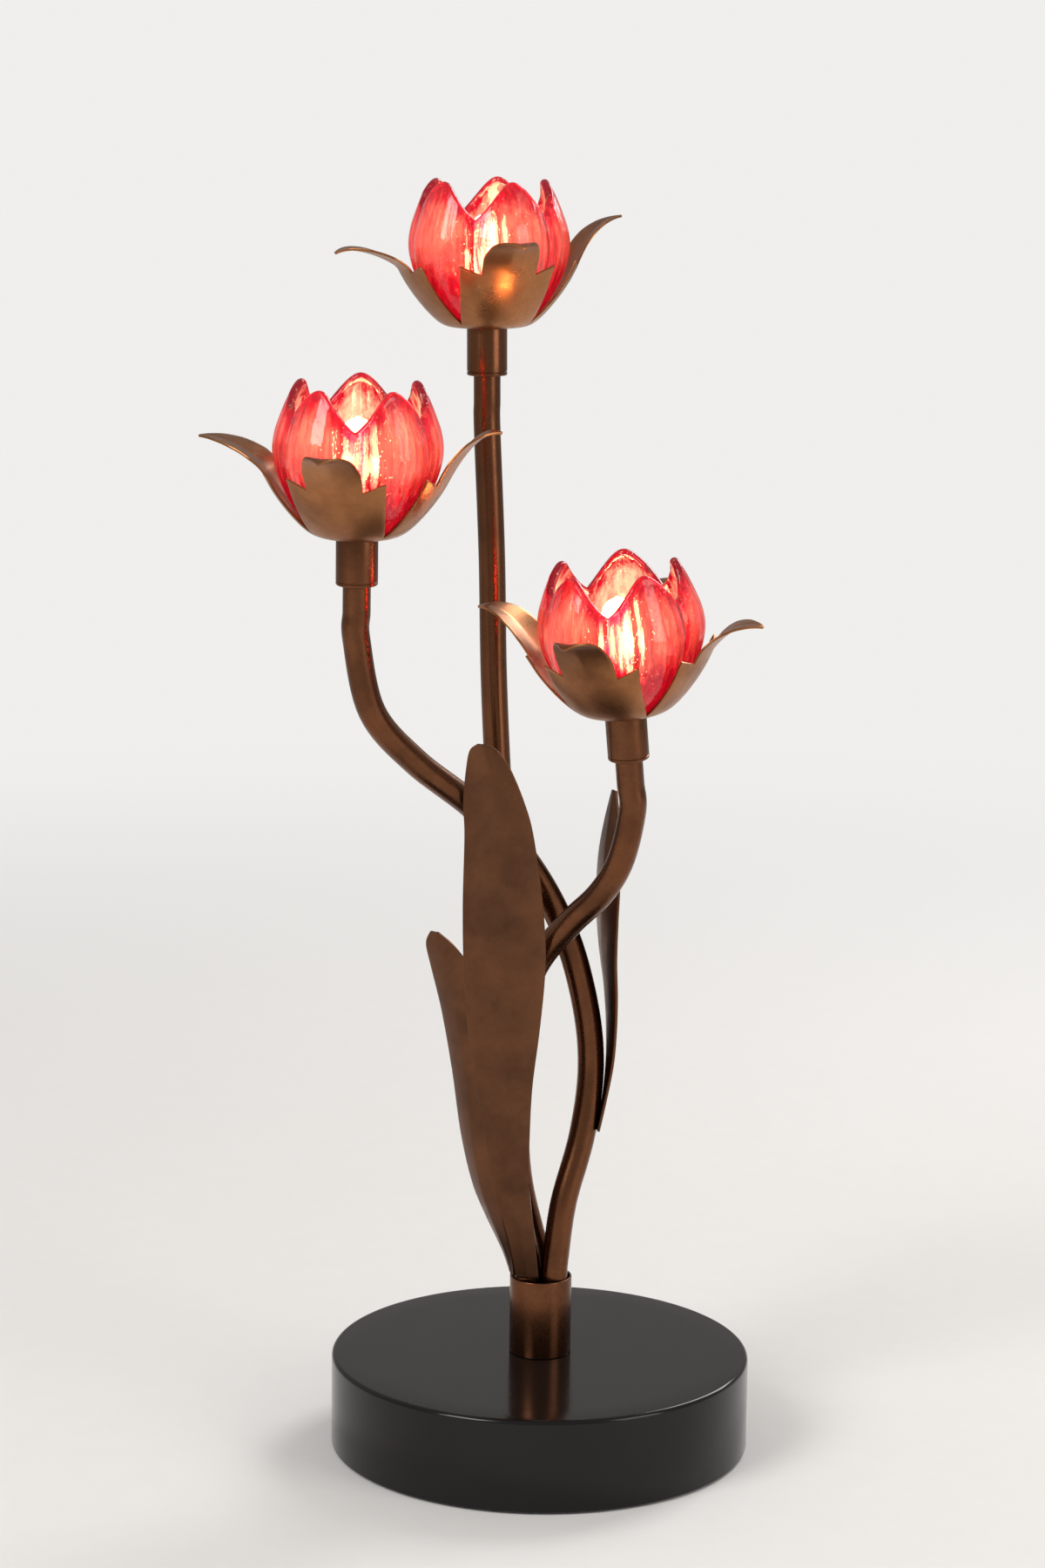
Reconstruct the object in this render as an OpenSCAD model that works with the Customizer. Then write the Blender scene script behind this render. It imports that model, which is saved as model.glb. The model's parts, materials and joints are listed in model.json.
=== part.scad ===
// Table lamp with three glass tulips on bent tube stems. Each flower is a glass shade in a
// four-flap brass calyx, clamped on a lamp holder that stands in a socket cup on its stem.
// The origin is the centre of the base on the table. +Z is up and -Y is the front.

/* [Base] */
// Diameter of the drum
base_d = 190; // [170:5:220]
// Height of the drum's top above the table
base_h = 43; // [40:1:55]
// Thickness of the drum's side
base_wall = 1.5; // [1:0.5:3]
// Thickness of the drum's top
base_top_t = 2; // [1.5:0.5:4]
// Radius of the drum's top edge
base_edge_r = 2; // [1.5:0.5:4]
// Gap between the drum's skirt and the table
skirt_gap = 1; // [0.5:0.5:1.5]
// Diameter of the cord inlet's hole through its bushing
inlet_d = 7.2; // [6:0.2:9]
// Height of the cord inlet above the table
inlet_h = 31; // [28:1:34]
// Rim of the bushing's flanges around the hole in the drum
bushing_rim = 2; // [1:0.5:3]

/* [Foot] */
// Thickness of the felt pad
pad_t = 2; // [1.5:0.5:3]
// Gap between the felt pad and the heads of the screws inside it
pad_gap = 5; // [1:0.5:8]
// Thickness of the bottom plate
plate_t = 1.5; // [1:0.5:3]
// Gap between the cast weight and the posts around it
weight_gap = 2; // [1:0.5:6]
// Height of the cast weight
weight_h = 18; // [12:1:21]
// Diameter of the hole in the cast weight
weight_bore_d = 60; // [56:2:66]

/* [Trunk] */
// Height of the collar above the drum
collar_h = 36; // [30:1:45]
// Wall of the collar around the three stems
collar_wall = 0.9; // [0.6:0.1:2]
// Thickness of the collar's floor
collar_floor = 8; // [6:1:10]
// Height of the stems' lower ends above the collar's floor
stem_lift = 9; // [6:1:12]
// Outer diameter of the threaded tube that holds the collar to the drum
trunk_tube_d = 16; // [14:1:17]
// Wall of that threaded tube
trunk_tube_wall = 2; // [1.5:0.5:2]

/* [Stems] */
// Outer diameter of the stem tubes
stem_d = 12; // [11:0.5:13]
// Wall of the stem tubes
stem_wall = 1; // [0.8:0.1:1.2]
// Diameter of the lead inside each stem
lead_d = 4.4; // [3.4:0.2:4.8]

/* [Flower heads] */
// Height of the top flower's cup above the collar
top_rise = 405; // [395:1:415]
// Height of the left flower's cup above the collar
left_rise = 325; // [315:1:335]
// Height of the right flower's cup above the collar
right_rise = 249; // [239:1:259]
// Outer diameter of the socket cups
cup_d = 18; // [17.5:0.5:20]
// Height of the socket cups
cup_h = 21.5; // [19.5:0.5:24]
// Wall and floor of the socket cups
cup_wall = 1; // [0.8:0.1:1.2]

/* [Glass shade] */
// Number of petals
petals = 5; // [4:1:6]
// Largest radius of the shade
shade_r = 37; // [34:0.5:41]
// Height of the shade from its seat to the petal tips
shade_h = 64; // [60:1:72]
// Depth of the cuts between the petals
petal_cut = 16; // [10:0.5:18]
// Thickness of the glass
glass_t = 4; // [3:0.5:5]
// Thickness of the glass floor
glass_floor = 3.5; // [3:0.5:5]

/* [Calyx] */
// Thickness of the brass sheet
calyx_t = 1; // [0.6:0.1:1.5]
// Width of each tongue at its root
tongue_w = 25; // [20:1:27]

/* [Lamp holder and bulb] */
// Height of the lamp holder's top above the glass floor
holder_rise = 3; // [2.6:0.2:5]
// Thickness of the ring that clamps the shade
ring_t = 2.5; // [2:0.5:2.5]
// Radial width of the ring that clamps the shade
ring_w = 3.2; // [2:0.2:4]
// Outer diameter of the bulb's glass capsule
bulb_d = 14; // [13:0.5:16]
// Height of the bulb's ceramic base
bulb_base_h = 6; // [4:1:8]
// Length of the bulb's glass capsule
capsule_h = 37; // [32:1:40]
// Wall of the bulb's glass capsule
capsule_t = 0.8; // [0.6:0.1:1.2]
// Diameter of the glowing core inside the capsule
core_d = 4.4; // [3:0.2:6]
// Distance between the two pins
pin_pitch = 9; // [8:0.5:9]
// Width of a pin
pin_w = 2.4; // [2:0.2:3]
// Thickness of a pin
pin_t = 0.8; // [0.6:0.1:1]
// Length of a pin below the bulb's base
pin_len = 6; // [4:0.5:7]

/* [Leaves] */
// Thickness of the sheet leaves
leaf_t = 1.2; // [0.8:0.1:1.6]

/* [Fasteners] */
// Height of the lock nut in each socket cup
lock_nut_h = 3; // [2.5:0.5:4]
// Length of each head nipple inside its stem
nipple_grip = 11; // [8:1:11]
// Wall of each head nipple
nipple_wall = 1.6; // [1:0.2:1.8]
// Width of the trunk nut across its flats
trunk_nut_af = 24; // [22:1:27]
// Height of the trunk nut
trunk_nut_h = 5; // [4:1:6]
// Thickness of the trunk washer
washer_t = 1.6; // [1:0.2:2]
// Diameter of the trunk washer
washer_d = 32; // [28:1:40]
// Thread diameter of the screws in the plate
screw_d = 3; // [2.5:0.5:4]
// Head diameter of the screws in the plate
screw_head_d = 6; // [5:0.5:7]
// Head height of the screws in the plate
screw_head_h = 1.3; // [1:0.1:1.4]
// Diameter of the posts that take the plate screws
post_d = 8; // [7:0.5:9]
// Gap between those posts and the drum's side
post_gap = 5.5; // [4:0.5:7]

/* [Wiring] */
// Width, depth and height of the terminal block
block_size = [36, 22, 13]; // [8:1:40]
// Distance between two poles of the terminal block
pole_pitch = 10; // [9:0.5:11]
// Diameter of the terminal screws
terminal_screw_d = 3.4; // [3:0.2:4]
// Depth of the wire holes in the terminal block
wire_hole_depth = 3; // [2:0.5:4]
// Diameter of the earth lead
earth_lead_d = 2; // [1.6:0.2:2.4]
// Diameter of the earth boss under the drum's top
earth_boss_d = 10; // [8:1:12]
// Height of the earth boss
earth_boss_h = 8; // [6:1:10]
// Thickness of the earth lug
lug_t = 1; // [0.6:0.1:1.4]

/* [Clearances] */
// Radial gap of threads and pressed fits
thread_gap = 0.1; // [0.05:0.05:0.2]
// Radial gap of parts that pass through a hole
pass_gap = 0.3; // [0.2:0.1:0.5]
// Gap around whatever slides out
slide_gap = 0.4; // [0.3:0.1:0.5]
// Gap between the bulb and the lamp holder it rests over
seat_gap = 0.3; // [0.2:0.1:0.3]
// Gap of brazed seams
seam_gap = 0.1; // [0.05:0.05:0.2]

/* [Hidden] */
$fn = 64;

BRONZE = [0.42, 0.24, 0.13];
BRASS = [0.72, 0.53, 0.26];
BLACK = [0.05, 0.05, 0.055];
GLASS = [0.86, 0.13, 0.2];
STEEL = [0.7, 0.7, 0.72];
CERAMIC = [0.93, 0.91, 0.87];
PLASTIC = [0.85, 0.85, 0.82];

// Heights of the base's parts
plate_z = pad_t;
weight_z = plate_z + plate_t;
shell_roof = base_h - base_top_t;
post_ring_r = base_d / 2 - base_wall - post_gap - post_d / 2;
weight_r = post_ring_r - post_d / 2 - weight_gap;
inner_ring_r = weight_bore_d / 2 + 2 * screw_head_d;
pad_bore_r = inner_ring_r + screw_head_d / 2 + pad_gap;
plate_screw_len = 10;
weight_screw_len = 9;
earth_x = -34;
block_y = 4;
block_z = weight_z;

// Trunk: three stems stand in a triangle inside the collar
stem_r = stem_d / 2;
bore_r = stem_r - stem_wall;
bundle_r = (stem_d + 2 * seam_gap) / sqrt(3);
collar_bore_r = bundle_r + stem_r + seam_gap;
trunk_z = base_h + collar_h;
stem_foot_z = base_h + collar_floor + stem_lift;
trunk_tube_r = trunk_tube_d / 2;
trunk_tube_top = base_h + collar_floor - 1;
trunk_tube_low = shell_roof - washer_t - trunk_nut_h - 4;
lead_circle_r = (lead_d + 0.4) / sqrt(3);

// Each head is [foot of the cup above the collar, forward tilt, sideways lean,
// turn of the front flap, turn of the first petal, flap tongues]
// A tongue is [tip radius, tip height, crest radius, crest height] above the seat
TOP = [
  [-29, 42, top_rise], 0.6, -0.6, 15, 80,
  [[64, 38.5, 53, 44.5], [62, 47.5, 46, 46], [68, 44, 55, 46], [69, 33, 61, 39]]
];
LEFT = [
  [-82.4, -63, left_rise], 4.6, 0.4, -12, 90,
  [[64, 41.5, 54, 47.5], [62, 46.5, 50, 49], [66, 42, 54, 45], [69.5, 38, 56, 39.5]]
];
RIGHT = [
  [34.7, -50, right_rise], 6.7, -5.1, -22, 80,
  [[65, 45, 53, 51], [65, 38.5, 51.5, 43], [66, 40, 55, 43], [64.5, 44, 50.5, 48]]
];

// Heights in a flower, from the cup's foot
seat_z = cup_h + calyx_t;
cup_r = cup_d / 2;
holder_r = cup_r - cup_wall - pass_gap;
holder_z = cup_wall + lock_nut_h;
holder_top = seat_z + glass_floor + holder_rise;
nipple_r = bore_r - 2 * thread_gap;
nipple_top = holder_z + 3.5;
lead_top = nipple_top + seat_gap;
bulb_z = holder_top + seat_gap;
bulb_r = bulb_d / 2;
capsule_z = bulb_z + bulb_base_h;
slot_floor = bulb_z - pin_len - 1;

// ---------- curves and skins ----------

function unit(v) = v / norm(v);

// A smooth curve through its points, with n steps from each to the next
function between(a, b, c, d, t) =
  0.5 * (2 * b + (c - a) * t + (2 * a - 5 * b + 4 * c - d) * t * t
         + (3 * b - a - 3 * c + d) * t * t * t);
function smooth(p, n) = [
  for (i = [0 : len(p) - 2])
    for (k = [0 : n - 1])
      between(p[max(i - 1, 0)], p[i], p[i + 1], p[min(i + 2, len(p) - 1)], k / n),
  p[len(p) - 1]
];
function place(v) = [v[0], v[1], v[2]];
function heading(p, i) =
  unit(place(p[min(i + 1, len(p) - 1)]) - place(p[max(i - 1, 0)]));

// One ring of a tube, square to the path at point i
function ring(p, i, r, sides) =
  let (t = heading(p, i), a = unit(cross(t, [0, 1, 0])), b = cross(t, a))
  [for (k = [0 : sides - 1])
    p[i] + r * (a * cos(360 * k / sides) + b * sin(360 * k / sides))];

// Two triangles for each cell of a grid of rows, whose columns close on themselves
function cells(rows, m) = [
  for (i = [0 : rows - 2])
    for (j = [0 : m - 1])
      let (a = i * m + j, b = i * m + (j + 1) % m)
      each [[a, b, b + m], [a, b + m, a + m]]
];
// A strip that closes one row of m points, from both sides of its first point
function strip(first, m) = [
  for (i = [0 : m / 2 - 2])
    each [[first + i, first + m - 2 - i, first + i + 1],
          [first + i, first + m - 1 - i, first + m - 2 - i]]
];
function flip(faces) = [for (f = faces) [f[2], f[1], f[0]]];

// Skin over rows of points with both ends closed
module capped_skin(rows) {
  m = len(rows[0]);
  last = (len(rows) - 1) * m;
  polyhedron(
    points = [for (row = rows) each row],
    faces = concat(flip(cells(len(rows), m)), flip(strip(0, m)), strip(last, m))
  );
}

// Skin over rows of points whose last row joins the first, like a tube with a wall
module looped_skin(rows) {
  m = len(rows[0]);
  n = len(rows);
  all = [for (row = rows) each row];
  faces = cells(n + 1, m);
  polyhedron(
    points = all,
    faces = [for (f = faces) [f[0] % (n * m), f[1] % (n * m), f[2] % (n * m)]]
  );
}

module hollow_tube(path, r, bore, sides) {
  n = len(path);
  looped_skin(concat(
    [for (i = [0 : n - 1]) ring(path, i, r, sides)],
    [for (i = [n - 1 : -1 : 0]) ring(path, i, bore, sides)]
  ));
}

module solid_tube(path, r, sides) {
  capped_skin([for (i = [0 : len(path) - 1]) ring(path, i, r, sides)]);
}

module pipe(r, bore, h) {
  difference() {
    cylinder(r = r, h = h);
    translate([0, 0, -1]) cylinder(r = bore, h = h + 2);
  }
}

module around(count, r, start = 0) {
  for (k = [0 : count - 1])
    rotate([0, 0, start + 360 * k / count]) translate([r, 0, 0]) children();
}

// A screw with its head down, whose head's top is at z = 0
module pan_screw(len) {
  translate([0, 0, -screw_head_h]) cylinder(d = screw_head_d, h = screw_head_h);
  cylinder(d = screw_d, h = len);
}

// ---------- flower heads ----------

function head_foot(head) = [head[0][0], head[0][1], trunk_z + head[0][2]];
function head_axis(head) = [
  cos(head[1]) * sin(head[2]), -sin(head[1]), cos(head[1]) * cos(head[2])
];
function along(head, z) = head_foot(head) + head_axis(head) * z;

module at_head(head) {
  translate(head_foot(head)) rotate([head[1], head[2], 0]) children();
}

// Where a stem stands in the trunk
function trunk_spot(angle) = [bundle_r * cos(angle), bundle_r * sin(angle)];
function spot(xy, z) = [xy[0], xy[1], z];

// Stem routes: up out of the collar, through hand-chosen bends, and into the cup's axis.
// The first bends are measured from the collar's top, the last from the cup's foot.
function route(head, angle, low, high) = concat(
  [for (z = [stem_foot_z, stem_foot_z + 10, trunk_z + 1]) spot(trunk_spot(angle), z)],
  [for (p = low) p + [0, 0, trunk_z]],
  [for (p = high) p + head_foot(head)],
  [along(head, -2 * (nipple_grip + 1)), along(head, -nipple_grip - 1), head_foot(head)]
);
TOP_ROUTE = route(TOP, 90,
  [[-2, 7.9, 10], [-5, 9.5, 19], [-10.5, 12, 43], [-13, 16, 76], [-14, 21, 111], [-16, 27, 146],
   [-19, 33, 183], [-22, 37.5, 221]],
  [[4.4, -2, -135], [2.9, -0.5, -80]]);
LEFT_ROUTE = route(LEFT, -30,
  [[6.7, -2.9, 10], [10, -0.5, 35], [18, 5.5, 65], [21.5, 9.5, 96], [18, 9.5, 127],
   [8, 5.5, 161]],
  [[73, 57, -131], [50, 41, -104], [24.5, 21, -80], [6.5, 6.5, -56]]);
RIGHT_ROUTE = route(RIGHT, 210,
  [[-7, -3.4, 10], [-10, -3, 27], [-13.5, -1, 61], [-14, 0, 93], [-11.5, -2.5, 124], [-3, -10, 149]],
  [[-24, 28.5, -80], [-11, 17, -64], [-2.5, 8.5, -47]]);

module stem(path) {
  color(BRONZE) hollow_tube(smooth(path, 3), stem_r, bore_r, 14);
}
module top_stem() stem(TOP_ROUTE);
module left_stem() stem(LEFT_ROUTE);
module right_stem() stem(RIGHT_ROUTE);

// Leads: from a wire hole in the terminal block up through the trunk and the stem
block_top = block_z + block_size[2];
wire_z = block_top - wire_hole_depth;
function lead_path(head, path, angle, pole) =
  let (xy = [lead_circle_r * cos(angle), lead_circle_r * sin(angle)],
       pole_xy = [pole * pole_pitch, block_y])
  concat(
    [for (z = [wire_z, block_top + 2, block_top + 4]) spot(pole_xy, z)],
    [spot(0.9 * xy + 0.1 * pole_xy, trunk_tube_low - 1)],
    [spot(xy, trunk_tube_low + 3), spot(xy, trunk_tube_top)],
    path,
    [along(head, lead_top)]
  );
module lead(path) {
  color("dimgray") solid_tube(smooth(path, 2), lead_d / 2, 6);
}
module top_lead() lead(lead_path(TOP, TOP_ROUTE, 90, 0));
module left_lead() lead(lead_path(LEFT, LEFT_ROUTE, -30, 1));
module right_lead() lead(lead_path(RIGHT, RIGHT_ROUTE, 210, -1));

// Socket cup, open at the top
module socket_cup(head) {
  color(BRONZE) at_head(head) difference() {
    cylinder(r = cup_r, h = cup_h);
    translate([0, 0, cup_wall]) cylinder(r = cup_r - cup_wall, h = cup_h);
    translate([0, 0, -1]) cylinder(r = nipple_r + thread_gap, h = cup_wall + 2);
  }
}

// Threaded tube that holds the cup and the lamp holder to the stem
module nipple(head) {
  color(STEEL) at_head(head) translate([0, 0, -nipple_grip])
    pipe(nipple_r, nipple_r - nipple_wall, nipple_grip + nipple_top);
}

module lock_nut(head) {
  af = 2 * (cup_r - cup_wall - pass_gap) * cos(30);
  color(STEEL) at_head(head) translate([0, 0, cup_wall]) difference() {
    cylinder(r = af / 2 / cos(30), h = lock_nut_h, $fn = 6);
    translate([0, 0, -1]) cylinder(r = nipple_r + thread_gap, h = lock_nut_h + 2);
  }
}

// Ceramic lamp holder with two slots for the bulb's pins
module lamp_holder(head) {
  color(CERAMIC) at_head(head) difference() {
    translate([0, 0, holder_z]) cylinder(r = holder_r, h = holder_top - holder_z);
    translate([0, 0, holder_z - 1])
      cylinder(r = nipple_r + thread_gap, h = lead_top - holder_z + 1);
    for (side = [-1, 1])
      translate([side * pin_pitch / 2 - pin_t / 2 - slide_gap, -pin_w / 2 - slide_gap,
                 slot_floor])
        cube([pin_t + 2 * slide_gap, pin_w + 2 * slide_gap, holder_top - slot_floor + 1]);
  }
}

module shade_ring(head) {
  color(BRASS) at_head(head) translate([0, 0, seat_z + glass_floor])
    pipe(holder_r + thread_gap + ring_w, holder_r + thread_gap, ring_t);
}

// ---------- glass shade ----------

// Outline of the glass in parts of its largest radius and of its height
GLASS_OUTLINE = [
  [0.39, 0], [0.5, 0.025], [0.665, 0.11], [0.81, 0.215], [0.935, 0.36], [1, 0.515],
  [0.98, 0.65], [0.905, 0.78], [0.825, 0.89], [0.755, 0.965], [0.72, 1]
];
GLASS_CURVE = [for (p = smooth(GLASS_OUTLINE, 4)) [p[1], p[0]]];
// A petal's cross-section is an arc whose centre is this part of the radius off the axis
PETAL_OFFSET = 0.435;
PETAL_COLUMNS = 10;
LIP = 1.5;

function bulge(a) =
  PETAL_OFFSET * cos(a) + sqrt(pow(1 - PETAL_OFFSET, 2) - pow(PETAL_OFFSET * sin(a), 2));
function ease(t) = let (u = max(0, min(1, t))) u * u * (3 - 2 * u);
// Radius of the outer face at a height part h, an angle a from the petal's middle
function glass_r(h, a) =
  shade_r * lookup(h, GLASS_CURVE) * (1 - ease(h / 0.3) * (1 - bulge(a)));
// Height of the rim at an angle a from the petal's middle
function rim_z(a) = let (t = a * petals / 180)
  shade_h - petal_cut * (0.4 * t * t + 0.6 * pow(sin(90 * t), 2));

// Section through the glass, in radius and height, as a closed loop
OUTER_STEPS = [0, 0.04, 0.12, 0.24, 0.4, 0.56, 0.72, 0.87, 1];
INNER_STEPS = [1, 0.86, 0.7, 0.54, 0.38, 0.24, 0.1, 0];
function glass_section(a) =
  let (top = rim_z(a) - LIP, hole = holder_r + pass_gap)
  concat(
    [for (s = OUTER_STEPS) [glass_r(s * top / shade_h, a), s * top]],
    [[glass_r(rim_z(a) / shade_h, a) - glass_t / 2, rim_z(a)]],
    [for (s = INNER_STEPS) let (z = glass_floor + s * (top - glass_floor))
      [glass_r(z / shade_h, a) - glass_t, z]],
    [[hole, glass_floor], [hole, 0]]
  );

module shade(head) {
  step = 360 / petals / PETAL_COLUMNS;
  color(GLASS, 0.6) at_head(head) translate([0, 0, seat_z]) rotate([0, 0, head[4]])
    looped_skin([
      for (i = [0 : petals * PETAL_COLUMNS - 1])
        let (a = i * step, petal = a - round(a * petals / 360) * 360 / petals)
        [for (p = glass_section(petal)) [p[0] * cos(a), p[0] * sin(a), p[1]]]
    ]);
}

// ---------- calyx ----------

// A flap's middle line in radius and height above the seat, up to the tongue's root
FLAP_ROOT = [
  [holder_r + pass_gap, 0], [11, 0], [14.5, 0], [18.5, 0.7], [shade_r - 15, 2.7],
  [shade_r - 10.5, 7], [shade_r - 5.5, 13], [shade_r - 1, 19.5], [shade_r + 2, 25]
];
TONGUE_AIM = [3, 6];
SLIT_R = 22;
SHOULDER_R = 4;
SHOULDER_ANGLE = 31;
// Half widths along the tongue, in parts of its width
TONGUE_TAPER = [[0, 0.48], [0.35, 0.5], [0.6, 0.42], [0.8, 0.27], [0.93, 0.12], [1, 0.03]];

function bezier(a, b, c, d, t) =
  pow(1 - t, 3) * a + 3 * pow(1 - t, 2) * t * b + 3 * (1 - t) * t * t * c + pow(t, 3) * d;
function tongue_point(tongue, t) =
  let (root = FLAP_ROOT[len(FLAP_ROOT) - 1], grow = shade_r - 37)
  bezier(root, root + TONGUE_AIM, [tongue[2] + grow, tongue[3]],
         [tongue[0] + grow, tongue[1]], t);
function middle_line(tongue) = concat(
  smooth(FLAP_ROOT, 2),
  [for (t = [0.125 : 0.125 : 1]) tongue_point(tongue, t)]
);
// The sheet's section: the middle line moved half a thickness to each side
function side_line(line, gap) = [
  for (i = [0 : len(line) - 1])
    let (t = unit(line[min(i + 1, len(line) - 1)] - line[max(i - 1, 0)]))
    line[i] + gap * [-t[1], t[0]]
];
function backwards(list) = [for (i = [len(list) - 1 : -1 : 0]) list[i]];

// The flap seen from above: a quarter disc, two shoulders, two notches and the tongue
function flap_side(tongue) = concat(
  [[SLIT_R * cos(45), SLIT_R * sin(45)]],
  [let (r = shade_r + SHOULDER_R)
    [r * cos(SHOULDER_ANGLE), r * sin(SHOULDER_ANGLE)]],
  [for (t = [0, 0.2, 0.4, 0.6, 0.8, 0.93, 1])
    let (r = tongue_point(tongue, t)[0], w = tongue_w * lookup(t, TONGUE_TAPER))
    [sqrt(r * r - w * w) + (t == 1 ? 2 : 0), w]]
);

module flap(tongue) {
  line = middle_line(tongue);
  side = flap_side(tongue);
  intersection() {
    rotate_extrude($fn = 96)
      polygon(concat(side_line(line, -calyx_t / 2), backwards(side_line(line, calyx_t / 2))));
    translate([0, 0, -5]) linear_extrude(height = 80)
      polygon(concat([[0, 0]], side, [for (p = backwards(side)) [p[0], -p[1]]]));
  }
}

module calyx(head) {
  color(BRASS) at_head(head) translate([0, 0, seat_z - calyx_t / 2])
    for (k = [0 : 3])
      rotate([0, 0, head[3] - 90 + 90 * k]) flap(head[5][k]);
}

// ---------- bulb ----------

module bulb_base(head) {
  color(CERAMIC) at_head(head) translate([0, 0, bulb_z])
    cylinder(r = bulb_r - 0.5, h = bulb_base_h);
}

module bulb_pins(head) {
  color(STEEL) at_head(head)
    for (side = [-1, 1])
      translate([side * pin_pitch / 2 - pin_t / 2, -pin_w / 2, bulb_z - pin_len])
        cube([pin_t, pin_w, pin_len]);
}

// Closed capsule with a rounded top
function capsule_outline(r, low, high) = concat(
  [[0, low], [r, low]],
  [for (a = [0 : 15 : 90]) [r * cos(a), high - r + r * sin(a)]]
);
module bulb_glass(head) {
  color("white", 0.5) at_head(head) translate([0, 0, capsule_z])
    difference() {
      rotate_extrude() polygon(capsule_outline(bulb_r, 0, capsule_h));
      rotate_extrude() polygon(
        capsule_outline(bulb_r - capsule_t, capsule_t, capsule_h - capsule_t));
    }
}

module bulb_core(head) {
  color("gold") at_head(head) translate([0, 0, capsule_z + capsule_t])
    cylinder(d = core_d, h = capsule_h - 2 * capsule_t - 3);
}

// ---------- leaves ----------

// A leaf's stations are [x, y, z above the collar, half width, turn from facing the front,
// how far its edges curl back]
LEAF_STRIPS = 5;
function leaf_row(p, i) =
  let (q = p[i], t = heading(p, i), w = [cos(q[4]), -sin(q[4]), 0], n = unit(cross(t, w)),
       across = [for (k = [0 : LEAF_STRIPS]) 2 * k / LEAF_STRIPS - 1],
       sheet = [for (u = across) place(q) + [0, 0, trunk_z] + w * q[3] * u + n * q[5] * u * u])
  concat([for (v = sheet) v - n * leaf_t / 2], [for (v = backwards(sheet)) v + n * leaf_t / 2]);

module leaf(stations) {
  path = smooth(stations, 2);
  color(BRONZE) capped_skin([for (i = [0 : len(path) - 1]) leaf_row(path, i)]);
}

braze = stem_r + leaf_t / 2 + seam_gap;
right_spot = trunk_spot(210);
module tall_leaf() {
  leaf([
    [right_spot[0], right_spot[1] - braze, 1.5, 5, 0, 0.2],
    [-9, -12.5, 21, 6, 0, 0.6], [-14, -15, 46, 8, 0, 1.5], [-16, -17.5, 71, 10, 0, 2.5],
    [-17.5, -20, 94, 12.5, 0, 3], [-18, -23, 121, 16, 0, 3.5], [-18, -26.5, 150, 18, 0, 4],
    [-19, -31, 178, 17.5, 0, 4], [-21, -34.5, 210, 15, 0, 3], [-23.5, -36, 226, 13.2, 0, 2],
    [-26, -37, 241, 9.5, 0, 1.5], [-28, -37.5, 249, 6, 0, 1], [-28.8, -37.8, 252, 2, 0, 0.2]
  ]);
}
module left_leaf() {
  leaf([
    [right_spot[0] - braze / cos(15), right_spot[1], 1.5, 4, 75, 0.2],
    [-15.5, -4.5, 11, 5, 65, 0.5], [-22, -5.5, 28, 7, 55, 1], [-27, -6, 43, 8.5, 50, 1.5],
    [-31, -6.5, 66, 10, 45, 2], [-34, -7, 95, 11, 40, 2.5], [-38, -7.5, 123, 11.5, 36, 2.5],
    [-43, -8, 144, 10.5, 32, 2], [-47, -8.5, 155, 7.5, 30, 1], [-49.5, -9, 161.5, 2, 30, 0.2]
  ]);
}
// The right leaf is brazed to the left flower's stem where that one passes on the right
right_leaf_z = 67;
right_leaf_foot = [18.4, 6, right_leaf_z] + [braze, 0, 0];
module right_leaf() {
  leaf([
    concat(right_leaf_foot, [4, 90, 0.2]),
    [27.8, 8, 83, 7, 88, 0.5], [29.2, 9, 99, 10, 84, 1], [29.2, 9.5, 115, 12, 82, 1.5],
    [28.2, 9, 131, 13.5, 80, 2], [26.6, 8.5, 148, 14, 76, 2], [26, 8, 166, 13.5, 71, 2],
    [26.3, 8, 181, 12.5, 68, 2], [27, 7, 195, 10.5, 67, 1.5], [28.5, 6, 210, 7, 66, 1],
    [30, 5, 224, 2, 66, 0.2]
  ]);
}

// ---------- trunk and base ----------

module stem_collar() {
  color(BRONZE) translate([0, 0, base_h]) difference() {
    cylinder(r = collar_bore_r + collar_wall, h = collar_h);
    translate([0, 0, collar_floor]) cylinder(r = collar_bore_r, h = collar_h);
    translate([0, 0, -1]) cylinder(r = trunk_tube_r + thread_gap, h = collar_floor + 2);
  }
}

module trunk_tube() {
  color(STEEL) translate([0, 0, trunk_tube_low])
    pipe(trunk_tube_r, trunk_tube_r - trunk_tube_wall, trunk_tube_top - trunk_tube_low);
}

module trunk_washer() {
  color(STEEL) translate([0, 0, shell_roof - washer_t])
    pipe(washer_d / 2, trunk_tube_r + pass_gap, washer_t);
}

module trunk_nut() {
  color(STEEL) translate([0, 0, shell_roof - washer_t - trunk_nut_h]) difference() {
    cylinder(r = trunk_nut_af / 2 / cos(30), h = trunk_nut_h, $fn = 6);
    translate([0, 0, -1]) cylinder(r = trunk_tube_r + thread_gap, h = trunk_nut_h + 2);
  }
}

// Upper corner of the drum's section, as an arc
function edge_arc(r, top, size) = [
  for (a = [0 : 15 : 90]) [r - size + size * cos(a), top - size + size * sin(a)]
];

bushing_bore_r = inlet_d / 2;
bushing_neck_r = bushing_bore_r + 1.5;
bushing_flange_t = 2;

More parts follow.
